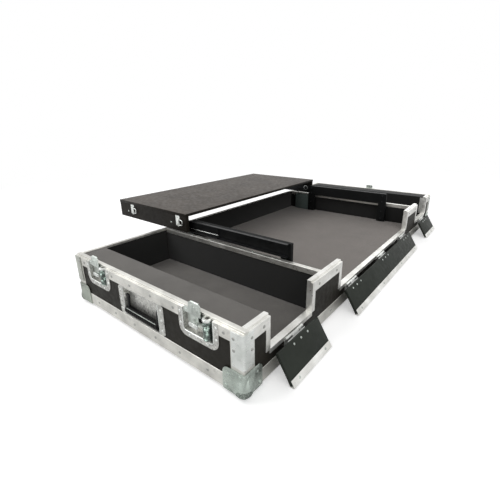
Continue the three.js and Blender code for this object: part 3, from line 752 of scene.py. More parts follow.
    def done(self, place: Matrix | None = None) -> None:
        """Puts the piece in the scene on its body, in metres.

        Args:
            place: The move to its place from the frame in which it was made.
        """
        if place is not None:
            self.turn(place)
        bmesh.ops.scale(self.mesh, vec=(MM, MM, MM), verts=self.mesh.verts)
        data = bpy.data.meshes.new(self.name)
        self.mesh.to_mesh(data)
        self.mesh.free()
        data.shade_smooth()
        data.set_sharp_from_angle(angle=SHADING_ANGLE)
        data.materials.append(self.finish.material())
        piece = bpy.data.objects.new(self.name, data)
        bpy.context.scene.collection.objects.link(piece)
        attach(piece, self.body)
        if self.stands_for:
            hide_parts(*self.stands_for)
        log.info("%s: %d faces on %s", self.name, len(data.polygons), self.body)


def dress(names: Iterable[str], finish: Finish, edge: float) -> None:
    """Gives CAD nodes their finish and softens their edges.

    Args:
        names: The nodes.
        finish: Their finish.
        edge: The rounding's width, in millimetres.
    """
    for name in names:
        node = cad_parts[name]
        node.data.materials.clear()
        node.data.materials.append(finish.material())
        node.modifiers.new("weld", "WELD").merge_threshold = WELD_METRES
        flat = node.modifiers.new("flat_faces", "DECIMATE")
        flat.decimate_type = "DISSOLVE"
        flat.angle_limit = FLAT_ANGLE
        bevel = node.modifiers.new("soft_edges", "BEVEL")
        bevel.width = edge * MM
        bevel.segments = 2
        bevel.limit_method = "ANGLE"
        bevel.angle_limit = SOFT_ANGLE
        bevel.use_clamp_overlap = True
        node.modifiers.new("even_shading", "WEIGHTED_NORMAL").keep_sharp = False
        log.info("%s: %s", name, finish.name)


@dataclass
class Shell:
    """Panels, dividers, floors and end blocks of the case."""

    wall_face: float = 276.5
    lining: float = 0.8
    lining_top: float = 124.5
    bay_floors: Pair = (26.4, 57.4)
    block_face: float = 597.0
    divider_faces: Pair = (389.2, 375.8)
    end_post: float = 439.0
    middle_post: float = 294.5
    rim_face: float = 275.0
    rim_black_layer: float = 0.4
    rim_heights: Pair = (125.0, 131.0)

    def build(self) -> None:
        """Dresses the boards and the felt."""
        walls = [f"{place}_panel" for place in ("base", "near", "far", "left", "right")]
        dress(walls, PLYWOOD, edge=0.3)
        dress(["divider_near", "divider_far", "end_block_far"], LINING, edge=0.6)
        dress(["floor_pad_middle"], CARPET, edge=1.5)
        dress(["floor_pad_near", "floor_pad_far"], DARKER_CARPET, edge=1.5)
        dress(["end_block_near"], DARKER_CARPET, edge=2.0)
        self._lining()

    def _lining(self) -> None:
        """Lines the insides of the long walls with black felt, and lays a thin black layer on the
        left rim's inner face along the middle bay.
        """
        skins = Workpiece("wall_lining", "case", LINING)
        low_floor, high_floor = self.bay_floors
        outside, inside = self.divider_faces
        for hand, low, high, floor in (
            (-1, -self.block_face, -outside, low_floor),
            (-1, -inside, inside, high_floor),
            (-1, outside, self.block_face, low_floor),
            (1, -self.end_post, -outside, low_floor),
            (1, -inside, -self.middle_post, high_floor),
            (1, self.middle_post, inside, high_floor),
            (1, outside, self.end_post, low_floor),
        ):
            left, right = sorted((hand * self.wall_face, hand * (self.wall_face - self.lining)))
            skins.box((left, low, floor), (right, high, self.lining_top), edge=0.2)
        # A thin black layer on the left rim's inner face along the middle bay, darker than the
        # rim's aluminium.
        face, (low, high) = -self.rim_face, self.rim_heights
        skins.box((face, -inside, low), (face + self.rim_black_layer, inside, high), edge=0.1)
        skins.done()


@dataclass
class Edging:
    """Aluminium angles, rims, caps and cut-out trims, with their rivets."""

    half_width: float = 290.0
    half_length: float = 672.5
    angle_height: float = 15.0
    rim_height: float = 116.0
    rivet_size: float = 3.4
    angle_rivets: tuple[float, ...] = (-200, -120, -40, 40, 120, 200)
    near_rim: tuple[float, ...] = (-112.0, -38.0, 38.0, 112.0, 246.0, -246.0)
    far_rim: tuple[float, ...] = (-246.0, -170.0, -94.0, 94.0, 170.0, 246.0)
    side_steps: range = range(-5, 6)
    angle_pitch: float = 114.0
    rim_pitch: float = 118.0
    post_rivets: tuple[float, ...] = (-616, -411, -324, 324, 411, 616)
    cap_screws: tuple[float, ...] = (-240, -80, 80, 240)
    cap_place: Pair = (382.5, 131.6)

    def build(self) -> None:
        """Dresses the extrusions and rivets them."""
        dress(["end_frame_near", "end_frame_far", "rim_near", "rim_far"], ALUMINIUM_X, edge=1.1)
        dress(["divider_cap_near", "divider_cap_far"], ALUMINIUM_X, edge=1.2)
        dress(["bottom_angle_left", "bottom_angle_right", "rim_left"], ALUMINIUM_Y, edge=1.1)
        dress([f"cutout_trim_{n}" for n in ("near", "middle", "far")], TRIM_ALUMINIUM, edge=0.8)
        self._end_rivets()
        self._side_rivets()
        self._cap_screws()

    def _end_rivets(self) -> None:
        """Rivets the angles and the rims of the two ends."""
        rivets = Workpiece("end_rivets", "case", DULL_ZINC)
        for side, rim in zip(ENDS.values(), (self.near_rim, self.far_rim)):
            for height, places in ((self.angle_height, self.angle_rivets), (self.rim_height, rim)):
                for x in places:
                    place = (x, side * self.half_length, height)
                    rivets.rivet(place, (0, side, 0), self.rivet_size)
        rivets.done()

    def _side_rivets(self) -> None:
        """Rivets the angles, the left rim and the posts."""
        rivets = Workpiece("side_rivets", "case", DULL_ZINC)
        angle = [step * self.angle_pitch for step in self.side_steps]
        rim = [step * self.rim_pitch for step in self.side_steps]
        for hand, height, places in (
            (-1, self.angle_height, angle),
            (1, self.angle_height, angle),
            (-1, self.rim_height, rim),
            (1, self.rim_height, self.post_rivets),
        ):
            for y in places:
                place = (hand * self.half_width, y, height)
                rivets.rivet(place, (hand, 0, 0), self.rivet_size)
        rivets.done()

    def _cap_screws(self) -> None:
        """Screws the divider caps down."""
        screws = Workpiece("cap_screws", "case", ZINC)
        y, top = self.cap_place
        for side in ENDS.values():
            for x in self.cap_screws:
                screws.screw((x, side * y, top), UP, size=2.6)
        screws.done()


@dataclass
class Corner:
    """One of the four upright corners of the case."""

    hand: int
    side: int

    def _settle(self, piece: Workpiece, place: Point) -> None:
        """Mirrors a piece from the far right corner to its own and moves it there.

        Args:
            piece: The piece, made at the origin for the far right corner.
            place: Where its origin lies there.
        """
        piece.turn(Matrix.Diagonal((self.hand, self.side, 1.0, 1.0)))
        bmesh.ops.recalc_face_normals(piece.mesh, faces=piece.mesh.faces)
        x, y, z = place
        piece.turn(Matrix.Translation((self.hand * x, self.side * y, z)))


@dataclass
class CornerBrace(Corner):
    """A folded steel brace over one upright corner of the edging."""

    leg: float = 26.0
    bottom: float = 59.0
    top: float = 127.4
    sheet: float = 2.0
    fold: float = 5.0
    place: Triple = (290.1, 672.6, 0.0)
    rivet_inset: float = 20.0
    rivet_heights: Pair = (92.0, 115.5)
    rivet_size: float = 3.2

    def build(self, name: str) -> None:
        """Folds the brace round its corner and rivets it.

        Args:
            name: The corner's name.
        """
        # Right braces take the lighter zinc and left ones the darker copy: painted light and
        # painted shade.
        finish = PALE_ZINC if self.hand > 0 else SHADED_BRACE_ZINC
        piece = Workpiece(f"corner_brace_{name}", "case", finish)
        part = bmesh.new()
        reach, out = -self.leg, self.sheet
        line = [part.verts.new(p) for p in ((out, reach, 0), (out, out, 0), (reach, out, 0))]
        for pair in zip(line, line[1:]):
            part.edges.new(pair)
        round_corner(part, line[1], self.fold)
        drawn = bmesh.ops.extrude_edge_only(part, edges=part.edges[:])
        rise = (0, 0, self.top - self.bottom)
        bmesh.ops.translate(part, vec=rise, verts=vertices_of(drawn["geom"]))
        bmesh.ops.recalc_face_normals(part, faces=part.faces)
        bmesh.ops.solidify(part, geom=part.faces[:], thickness=self.sheet)
        bmesh.ops.translate(part, vec=(0, 0, self.bottom), verts=part.verts)
        piece.take(part)
        self._settle(piece, self.place)
        piece.done()
        self._rivets(name)

    def _rivets(self, name: str) -> None:
        """Rivets both legs of the brace.

        Args:
            name: The corner's name.
        """
        rivets = Workpiece(f"brace_rivets_{name}", "case", DULL_ZINC)
        hand, side = self.hand, self.side
        x, y = hand * self.place[0], side * self.place[1]
        for z in self.rivet_heights:
            place = (x - hand * self.rivet_inset, y + side * self.sheet, z)
            rivets.rivet(place, (0, side, 0), self.rivet_size)
            place = (x + hand * self.sheet, y - side * self.rivet_inset, z)
            rivets.rivet(place, (hand, 0, 0), self.rivet_size)
        rivets.done()


@dataclass
class BallCorner(Corner):
    """A pressed corner: three plates and the ball between them."""

    plate: float = 50.0
    tuck: float = 1.2
    sheet: float = 1.4
    edge: float = 0.6
    upright_corners: tuple[float, ...] = (2.0, 3.0, 5.0, 14.0)
    level_corners: tuple[float, ...] = (14.0, 2.0, 3.0, 2.0)
    rivets: tuple[Pair, ...] = ((-42, 9), (-9, 42), (-36, 36))
    rivet_size: float = 3.4
    radius: float = 18.0
    bulge: float = 7.5
    swelling: float = 19.0
    swelling_inset: float = 20.0
    swelling_height: float = 0.2
    place: Triple = (290.3, 672.8, -0.3)

    def build(self, name: str) -> None:
        """Builds the corner at the origin and moves it to its place.

        Args:
            name: The corner's name.
        """
        # Right corners take the lighter zinc and left ones the darker copy: painted light and
        # painted shade.
        finish = CORNER_ZINC if self.hand > 0 else SHADED_CORNER_ZINC
        piece = Workpiece(f"pressed_corner_{name}", "case", finish, (f"ball_corner_{name}",))
        self._plates(piece)
        piece.take(self._ball())
        self._settle(piece, self.place)
        piece.done()

    def _plates(self, piece: Workpiece) -> None:
        """Adds the three plates with their rivets.

        Args:
            piece: The piece that takes them.
        """
        sheet, size = self.sheet, self.rivet_size
        across, upright = (-self.plate, self.tuck), (-self.tuck, self.plate)
        for axis in "yx":
            piece.plate(axis, (0.0, sheet), across, upright, self.upright_corners, self.edge)
        piece.plate("z", (-sheet, 0.0), across, across, self.level_corners, self.edge)
        for u, v in self.rivets:
            piece.rivet((u, sheet, v), (0, 1, 0), size)
            piece.rivet((sheet, u, v), (1, 0, 0), size)
            piece.rivet((u, -v, -sheet), (0, 0, -1), size)

    def _ball(self) -> Part:
        """Makes the ball and the swelling that leads up to it on each plate.

        Returns:
            The hull of the ball and the swellings' feet.
        """
        part = bmesh.new()
        bmesh.ops.create_uvsphere(part, u_segments=40, v_segments=24, radius=self.radius)
        inset = self.radius - self.bulge
        bmesh.ops.translate(part, vec=(-inset, -inset, inset), verts=part.verts)
        reach, out = self.swelling_inset, self.sheet + self.swelling_height
        for place, facing in (
            ((-reach, out, reach), (0, 1, 0)),
            ((out, -reach, reach), (1, 0, 0)),
            ((-reach, -reach, -out), (0, 0, -1)),
        ):
            bmesh.ops.create_circle(
                part, segments=48, radius=self.swelling, matrix=stood(place, facing)
            )
        hull = bmesh.ops.convex_hull(part, input=part.verts[:])
        bmesh.ops.delete(part, geom=vertices_of(hull["geom_interior"]), context="VERTS")
        return part


@dataclass
class Flap:
    """A drop-down flap: its board, hinge leaves and knuckles, built shut and turned open.

    Places on it are measured from the hinge's pin, with x outwards and z up. The inner knuckle
    and the pin's end are a half length and a radius, and the outer knuckle is where it starts
    and ends, and its radius.
    """

    name: str
    centre: float
    half: float
    hinges: tuple[float, ...]
    edge_rivets: tuple[float, ...]
    pin: Pair = (293.4, 53.0)
    open_angle: float = 148.0
    board: Pair = (-10.4, -3.4)
    board_heights: Pair = (6.5, 71.0)
    edge_row: Pair = (-11.9, 67.5)
    leaf_half: float = 32.0
    rivet_steps: Triple = (-26.0, 0.0, 26.0)
    rivet_size: float = 2.8
    tail_size: float = 2.5
    moving_leaf: Pair = (-3.4, -1.9)
    moving_heights: Pair = (4.5, 22.0)
    moving_row: float = 14.0
    fixed_leaf: Pair = (-3.3, -1.7)
    fixed_heights: Pair = (-22.2, -3.2)
    fixed_row: float = -13.0
    tongue: Pair = (-0.5, 5.0)
    tongue_half: float = 12.0
    inner_knuckle: Pair = (11.8, 3.05)
    outer_knuckle: Triple = (12.2, 30.0, 3.15)
    pin_end: Pair = (0.8, 2.4)

    def build(self) -> None:
        """Builds the flap's pieces and dresses its edge."""
        body = f"flap_{self.name}"
        shut = Matrix.Translation((self.pin[0], self.centre, self.pin[1]))
        opened = shut @ Matrix.Rotation(math.radians(self.open_angle), 4, "Y")
        board = Workpiece(f"{body}_board", body, FLAP_SKIN, (f"{body}_panel",))
        (inside, outside), (low, high) = self.board, self.board_heights
        board.box((inside, -self.half, low), (outside, self.half, high), edge=0.5)
        leaves = Workpiece(f"{body}_hinge_leaves", body, LEAF_STEEL)
        rivets = Workpiece(f"{body}_rivets", body, ZINC)
        fixed = Workpiece(f"{body}_fixed_leaves", "case", LEAF_STEEL)
        for offset in self.hinges:
            self._moving_leaf(leaves, rivets, offset)
            self._fixed_leaf(fixed, offset)
        face, height = self.edge_row
        for y in self.edge_rivets:
            rivets.rivet((face, y, height), (-1, 0, 0), self.rivet_size)
        dress([f"{body}_edge"], TRIM_ALUMINIUM, edge=0.5)
        for piece in (board, leaves, rivets):
            piece.done(opened)
        fixed.done(shut)

    def _moving_leaf(self, leaves: Workpiece, rivets: Workpiece, offset: float) -> None:
        """Adds the leaf on the flap's outer face, its knuckle, and the rivets through it.

        Args:
            leaves: The piece that takes the leaf.
            rivets: The piece that takes the rivets.
            offset: The hinge's place along the flap.
        """
        along = (offset - self.leaf_half, offset + self.leaf_half)
        leaves.plate("x", self.moving_leaf, along, self.moving_heights, (0, 0, 3, 3), edge=0.3)
        (low, high), wide, face = self.tongue, self.tongue_half, self.moving_leaf[1]
        back = self.fixed_leaf[0]
        leaves.box((back, offset - wide, low), (face, offset + wide, high), edge=0.2)
        half, radius = self.inner_knuckle
        leaves.rod((0, offset - half, 0), (0, offset + half, 0), radius)
        for step in self.rivet_steps:
            y, z = offset + step, self.moving_row
            rivets.rivet((self.board[0], y, z), (-1, 0, 0), self.tail_size)
            rivets.rivet((face, y, z), (1, 0, 0), self.rivet_size)

    def _fixed_leaf(self, fixed: Workpiece, offset: float) -> None:
        """Adds the leaf below the sill with its outer knuckles, pin ends and rivets.

        Args:
            fixed: The piece that takes the leaf.
            offset: The hinge's place along the flap.
        """
        along = (offset - self.leaf_half, offset + self.leaf_half)
        fixed.plate("x", self.fixed_leaf, along, self.fixed_heights, (3, 3, 0, 0), edge=0.3)
        (back, face), (low, high) = self.fixed_leaf, self.tongue
        start, end, radius = self.outer_knuckle
        for first, last in ((offset - end, offset - start), (offset + start, offset + end)):
            fixed.box((back, first, -high), (face, last, -low), edge=0.2)
            fixed.rod((0, first, 0), (0, last, 0), radius)
        half, radius = self.pin_end
        for y in (-end - half, end + half):
            fixed.rod((0, offset + y - half, 0), (0, offset + y + half, 0), radius)
        for step in self.rivet_steps:
            fixed.rivet((face, offset + step, self.fixed_row), (1, 0, 0), self.rivet_size)


@dataclass
class LatchPart:
    """A part of one latch, made in the latch's frame.

    Places in it are measured from its middle on the wall's outer face, with y into the case.
    """

    latch: str
    place: Matrix


@dataclass
class SpringBarrel(LatchPart):
    """A latch's spring barrel: a ribbed sleeve, and a collar given by bore, radius and height."""

    axis: Pair = (24.0, 2.0)
    heights: Pair = (82.0, 122.0)
    bore: float = 7.6
    ribs: int = 9
    rib_radii: Pair = (8.1, 9.1)
    rib_edges: Pair = (0.5, 1.4)
    collar: Triple = (4.2, 9.8, 4.6)

    def build(self) -> None:
        """Adds the sleeve and the collar."""
        # The sleeve's dark skin and bright blotches are painted reflection and painted glints.
        sleeve = Workpiece(f"latch_{self.latch}_sleeve", "case", GREEN_ZINC)
        (x, y), (low, high) = self.axis, self.heights
        ribs = ribbed((0.0, high - low), self.ribs, self.rib_radii, self.rib_edges)
        profile = [(self.bore, 0.0), *ribs, (self.bore, high - low), (self.bore, 0.0)]
        sleeve.lathe(profile, (x, y, low), UP, steps=28)
        sleeve.done(self.place)
        collar = Workpiece(f"latch_{self.latch}_collar", "case", BRIGHT_ZINC)
        collar.ring((x, y, high), UP, *self.collar)
        collar.done(self.place)


@dataclass
class Hook(LatchPart):
    """A latch's hook, with a black patch on the dish's floor behind the window of its foot, which
    is painted shade.

    The patch's margins are how far it reaches beside, below and above the window.
    """

    span: Pair = (-36.0, 10.0)
    window: Pair = (-6.0, 6.0)
    window_heights: Pair = (103.0, 118.0)
    # Where the black patch of painted shade lies behind the window, and how far it reaches.
    shade_depth: Pair = (9.5, 9.8)
    shade_margins: Triple = (2.0, 10.0, 1.0)
    foot_depth: Pair = (7.4, 9.4)
    foot_heights: Pair = (93.0, 122.6)
    step_inset: float = 0.2
    step_depth: Pair = (-1.2, 9.2)
    step_heights: Pair = (121.0, 123.0)
    shoulder_overlap: float = 2.0
    shoulder_depth: Pair = (-1.4, 0.4)
    shoulder_top: float = 133.0
    tip_width: float = 32.0
    tip_depth: Pair = (-1.5, 0.5)
    tip_heights: Pair = (120.8, 147.4)
    lip_inset: float = 5.5
    lip_place: Pair = (1.2, 146.2)
    rib_reach: float = 6.5
    rib_half: float = 1.8
    rib_depth: Pair = (-2.3, -1.0)
    rib_heights: Pair = (125.0, 142.0)
    rivet_heights: Pair = (137.0, 127.0)
    rivet_inset: float = 8.0

    def build(self) -> None:
        """Adds the painted shade patch and the hook: foot, step, shoulder, tip, curled lip and
        pressed ribs.
        """
        self._painted_shade()
        stands_for = f"latch_{self.latch}_hook"
        piece = Workpiece(f"{stands_for}_plate", f"{self.latch}_hook", HOOK_ZINC, (stands_for,))
        self._foot(piece)
        self._step(piece)
        self._tip(piece)
        piece.done(self.place)

    def _painted_shade(self) -> None:
        """Adds the black patch on the dish's floor behind the foot's window: painted shade."""
        # A black sheet put where there is only shade: painted shade behind the window.
        piece = Workpiece(f"latch_{self.latch}_painted_shade", "case", BLACK_PAINT)
        (left, right), (low, high) = self.window, self.window_heights
        beside, below, above = self.shade_margins
        front, back = self.shade_depth
        corner = (right + beside, back, high + above)
        piece.box((left - beside, front, low - below), corner, edge=0.1)
        piece.done(self.place)

    def _foot(self, piece: Workpiece) -> None:
        """Adds the foot, four plates round a window.

        Args:
            piece: The piece that takes it.
        """
        (left, right), (low, high) = self.span, self.foot_heights
        (start, end), (sill, head) = self.window, self.window_heights
        for u, v, radii in (
            ((left, start), (low, high), (5, 0, 0, 0)),
            ((end, right), (low, high), (0, 3, 0, 0)),
            ((start, end), (low, sill), (0, 0, 0, 0)),
            ((start, end), (head, high), (0, 0, 0, 0)),
        ):
            piece.plate("y", self.foot_depth, u, v, radii, edge=0.0)

    def _step(self, piece: Workpiece) -> None:
        """Adds the step out over the dish's edge, and the shoulder on it.

        Args:
            piece: The piece that takes them.
        """
        (left, right), inset = self.span, self.step_inset
        (front, back), (low, high) = self.step_depth, self.step_heights
        piece.box((left + inset, front, low), (right - inset, back, high), edge=0.6)
        across = (left, right - self.tip_width + self.shoulder_overlap)
        heights = (low, self.shoulder_top)
        piece.plate("y", self.shoulder_depth, across, heights, (0, 0, 0, 5), edge=0.5)

    def _tip(self, piece: Workpiece) -> None:
        """Adds the tip with its curled lip, its two ribs and the rivets.

        Args:
            piece: The piece that takes them.
        """
        left, right = self.span
        tip = right - self.tip_width
        inset, (y, z) = self.lip_inset, self.lip_place
        piece.plate("y", self.tip_depth, (tip, right), self.tip_heights, (0, 0, 6, 6), edge=0.5)
        piece.rod((tip + inset, y, z), (right - inset, y, z), radius=2.1, edge=0.7)
        middle = (tip + right) / 2
        (front, back), (low, high) = self.rib_depth, self.rib_heights
        for x in (middle - self.rib_reach, middle + self.rib_reach):
            corner = (x + self.rib_half, back, high)
            piece.box((x - self.rib_half, front, low), corner, edge=0.8)
        for x, z in zip((middle, left + self.rivet_inset), self.rivet_heights):
            piece.rivet((x, self.tip_depth[0], z), TO_FRONT, size=2.6)


@dataclass
class Butterfly(LatchPart):
    """A latch's wing: a bar with two dished finger pads, a knob and its stem.

    The ridges are how far each one lies from its pad's left end.
    """

    hub: Pair = (-13.0, 97.0)
    bar_depth: Pair = (-0.9, 1.3)
    bar_half: Pair = (13.0, 5.0)
    bar_corner: float = 4.6
    pad_depth: Pair = (-1.2, 0.0)
    pad_span: Pair = (5.6, 12.0)
    pad_half: float = 3.6
    pad_corner: float = 2.4
    ridges: Pair = (1.2, 4.0)
    ridge_depth: Pair = (-1.9, -0.9)
    ridge_half: float = 2.4
    ridge_width: float = 1.0
    knob_foot: float = 3.4
    knob: Profile = ((0, 0), (5, 0), (5, 3.6), (4.4, 4.8), (2.2, 5.0), (2.0, 4.2), (0, 4.1))
    stem: Pair = (2.0, 7.1)
    stem_radius: float = 4.5

    def build(self) -> None:
        """Adds the wing."""
        stands_for = f"latch_{self.latch}_wing"
        name, body = f"latch_{self.latch}_butterfly", f"{self.latch}_wing"
        piece = Workpiece(name, body, BRIGHT_ZINC, (stands_for,))
        (x, z), (wide, tall) = self.hub, self.bar_half
        across, heights = (x - wide, x + wide), (z - tall, z + tall)
        piece.plate("y", self.bar_depth, across, heights, (self.bar_corner,) * 4, edge=0.7)
        for hand in HANDS.values():
            self._pad(piece, hand)
        piece.lathe(self.knob, (x, self.knob_foot, z), TO_FRONT, ROD_STEPS)
        front, back = self.stem
        piece.rod((x, front, z), (x, back, z), self.stem_radius)
        piece.done(self.place)

    def _pad(self, piece: Workpiece, hand: int) -> None:
        """Adds one finger pad with its two ridges.

        Args:
            piece: The piece that takes it.
            hand: Its side of the hub.
        """
        x, z = self.hub
        across = sorted(x + hand * reach for reach in self.pad_span)
        heights = (z - self.pad_half, z + self.pad_half)
        piece.plate("y", self.pad_depth, across, heights, (self.pad_corner,) * 4, edge=0.5)
        (front, back), half = self.ridge_depth, self.ridge_half
        for inset in self.ridges:
            low = across[0] + inset
            piece.box((low, front, z - half), (low + self.ridge_width, back, z + half), edge=0.3)


@dataclass
class Latch:
    """A recessed butterfly latch: dish, spring barrel, hook and wing."""

    name: str
    x: float
    side: int
    wall: float = 671.0
    bead_half: float = 41.2
    bead_heights: Pair = (78.8, 125.6)
    bead_radius: float = 1.3
    flange_face: float = -1.5
    flange_rivets: tuple[Pair, ...] = (
        (-47.6, 117.0),
        (-47.6, 92.0),
        (47.6, 117.0),
        (47.6, 92.0),
        (-24.0, 72.6),
        (24.0, 72.6),
    )

    def build(self) -> None:
        """Dresses the dish, and builds and places the pieces in it."""
        dress([f"latch_{self.name}_dish"], SPANGLED_ZINC, edge=0.8)
        place = Matrix.Translation((self.x, self.side * self.wall, 0.0))
        if self.side > 0:
            place @= Matrix.Rotation(math.pi, 4, "Z")
        self._bead(place)
        for part in (SpringBarrel, Hook, Butterfly):
            part(self.name, place).build()

    def _bead(self, place: Matrix) -> None:
        """Adds the pressed bead round the dish's mouth, with the flange's rivets.

        Args:
            place: The move from the latch's frame to its wall.
        """
        piece = Workpiece(f"latch_{self.name}_bead", "case", BRIGHT_ZINC)
        half, (low, high) = self.bead_half, self.bead_heights
        corners = ((-half, high), (-half, low), (half, low), (half, high))
        path = [(x, -self.bead_radius, z) for x, z in corners]
        piece.wire(filleted(path, radius=9.0), self.bead_radius)
        for x, z in self.flange_rivets:
            piece.rivet((x, self.flange_face, z), TO_FRONT, size=2.9)
        piece.done(place)


@dataclass
class CarryHandle:
    """The recessed handle: dish, bail and grip.

    Places on it are measured from its middle on the wall's outer face, with y into the case.
    """

    place: Triple = (-6.0, -671.0, 0.0)
    flange_face: float = -1.5
    rivet_columns: Pair = (-75.0, 75.0)
    rivet_rows: Triple = (44.0, 68.0, 92.0)
    bead_columns: Pair = (-65.4, 65.4)
    bead_heights: Pair = (33.9, 101.8)
    bead_radius: float = 1.3
    arm: float = 54.0
    stub: float = 5.0
    wire_radius: float = 3.4
    pivot: Pair = (5.4, 82.0)
    grip_axis: Pair = (2.4, 45.5)
    grip_half: float = 61.0
    grip_radius: float = 9.0
    grip_end: Profile = ((6.8, 0.0), (8.2, 0.6), (8.8, 2.0), (8.8, 7.0), (8.1, 8.0))
    ribs: int = 13
    ribs_start: float = 9.0
    rib_radii: Pair = (8.1, 8.9)
    rib_edges: Pair = (0.3, 1.3)
    # Place and size of the bright rod that paints the highlight along the grip.
    highlight_inset: float = 6.0
    highlight_depth: float = 0.5
    highlight_radius: float = 0.7

    def build(self) -> None:
        """Dresses the dish and builds the bail and grip."""
        dress(["handle_dish"], SPANGLED_ZINC, edge=0.9)
        self._fixings()
        self._bail()
        self._grip()
        self._painted_highlight()

    def _add(self, piece: Workpiece) -> None:
        """Adds a piece at the handle's place."""
        piece.done(Matrix.Translation(self.place))

    def _fixings(self) -> None:
        """Adds the flange's rivets and the pressed beads beside the mouth."""
        piece = Workpiece("handle_fixings", "case", BRIGHT_ZINC)
        for x in self.rivet_columns:
            for z in self.rivet_rows:
                piece.rivet((x, self.flange_face, z), TO_FRONT, size=3.0)
        for x in self.bead_columns:
            piece.wire([(x, -self.bead_radius, z) for z in self.bead_heights], self.bead_radius)
        self._add(piece)

    def _bail(self) -> None:
        """Adds the wire bail: two arms from the pivots down to the grip."""
        # The bail's coat is black, as model.json has it, and the dark left arm also stands in for
        # the shade at the dish's left end: painted shade.
        piece = Workpiece("handle_wire", "handle", BLACK_COAT, ("handle_bail",))
        deep, high = self.pivot
        for hand in HANDS.values():
            arm = hand * self.arm
            path = [(hand * (self.arm + self.stub), deep, high), (arm, deep, high)]
            piece.wire(filleted([*path, (arm, *self.grip_axis)], radius=4.0), self.wire_radius)
        self._add(piece)

    def _grip(self) -> None:
        """Adds the rubber grip with its end caps and shallow finger ribs."""
        piece = Workpiece("handle_grip", "handle", BLACK_RUBBER)
        length, start = 2 * self.grip_half, self.ribs_start
        ribs = ribbed((start, length - start), self.ribs, self.rib_radii, self.rib_edges)
        other_end = [(radius, length - height) for radius, height in self.grip_end[::-1]]
        profile = [(0, 0), *self.grip_end, *ribs, *other_end, (0, length)]
        piece.lathe(profile, (-self.grip_half, *self.grip_axis), (1, 0, 0), RING_STEPS)
        self._add(piece)

    def _painted_highlight(self) -> None:
        """Adds a thin bright rod along the grip's upper front: a painted highlight."""
        piece = Workpiece("handle_grip_painted_highlight", "handle", ZINC)
        out = (self.grip_radius - self.highlight_depth) * math.sqrt(0.5)
        y, z = self.grip_axis[0] - out, self.grip_axis[1] + out
        end = self.grip_half - self.highlight_inset
        piece.rod((-end, y, z), (end, y, z), self.highlight_radius)
        self._add(piece)


@dataclass
class Shelf:
    """The sliding shelf: board, skirts, screws and catches."""

    half: float = 392.0
    board_span: Pair = (-529.0, -169.0)
    lip: float = 0.7
    lip_heights: Pair = (187.4, 195.7)
    skirt_screws: tuple[tuple[float, ...], ...] = ((-480.0, -240.0), (-480.0, -360.0, -240.0))
    skirt_screw_height: float = 160.0
    eyes: Pair = (-442.0, -197.0)
    catch_screw_offset: float = -11.0
    catch_screw_heights: Pair = (160.5, 181.5)
    catch_face: float = -393.5
    loop_face: float = -396.2
    pin_heights: Pair = (157.3, 176.7)
    pin_radius: float = 2.4
    loop_reach: float = 14.6
    loop_radius: float = 1.6
    loop_fillet: float = 5.5

    def build(self) -> None:
        """Dresses the shelf and adds its fixings and loops."""
        dress(["shelf_board"], SHELF_SKIN, edge=0.8)
        dress(["shelf_skirt_near", "shelf_skirt_far"], SHELF_EDGE, edge=0.6)
        dress(["catch_plate_1", "catch_plate_2"], BRIGHT_ZINC, edge=0.4)
        self._lipping()
        self._screws()
        for index, eye in enumerate(self.eyes, start=1):
            self._loop(index, eye)

    def _lipping(self) -> None:
        """Lines the four edges of the board with a dark strip."""
        lips = Workpiece("shelf_lipping", "shelf", SHELF_EDGE)
        (left, right), (low, high) = self.board_span, self.lip_heights
        out = self.half + self.lip
        for span, across in (
            ((left, right), (-out, -self.half)),
            ((left, right), (self.half, out)),
            ((left - self.lip, left), (-out, out)),
            ((right, right + self.lip), (-out, out)),
        ):
            lips.box((span[0], across[0], low), (span[1], across[1], high), edge=0.2)
        lips.done()

    def _screws(self) -> None:
        """Screws the skirts and the catches on."""
        screws = Workpiece("shelf_screws", "shelf", ZINC)
        for side, places in zip(ENDS.values(), self.skirt_screws):
            for x in places:
                place = (x, side * self.half, self.skirt_screw_height)
                screws.screw(place, (0, side, 0), size=3.0)
        for eye in self.eyes:
            for z in self.catch_screw_heights:
                place = (eye + self.catch_screw_offset, self.catch_face, z)
                screws.screw(place, TO_FRONT, size=2.2)
        screws.done()

    def _loop(self, index: int, eye: float) -> None:
        """Adds the wire loop of one catch, with its pin.

        Args:
            index: The catch's number.
            eye: The place of its pin along the skirt.
        """
        name = f"loop_{index}"
        piece = Workpiece(f"catch_wire_{index}", name, BRIGHT_ZINC, (f"catch_{name}",))
        y, (low, high) = self.loop_face, self.pin_heights
        piece.rod((eye, y, low), (eye, y, high), self.pin_radius)
        low, high, end = low + self.loop_radius, high - self.loop_radius, eye + self.loop_reach
        path = [(x, y, z) for x, z in ((eye, low), (end, low), (end, high), (eye, high))]
        piece.wire(filleted(path, self.loop_fillet), self.loop_radius)
        piece.done()


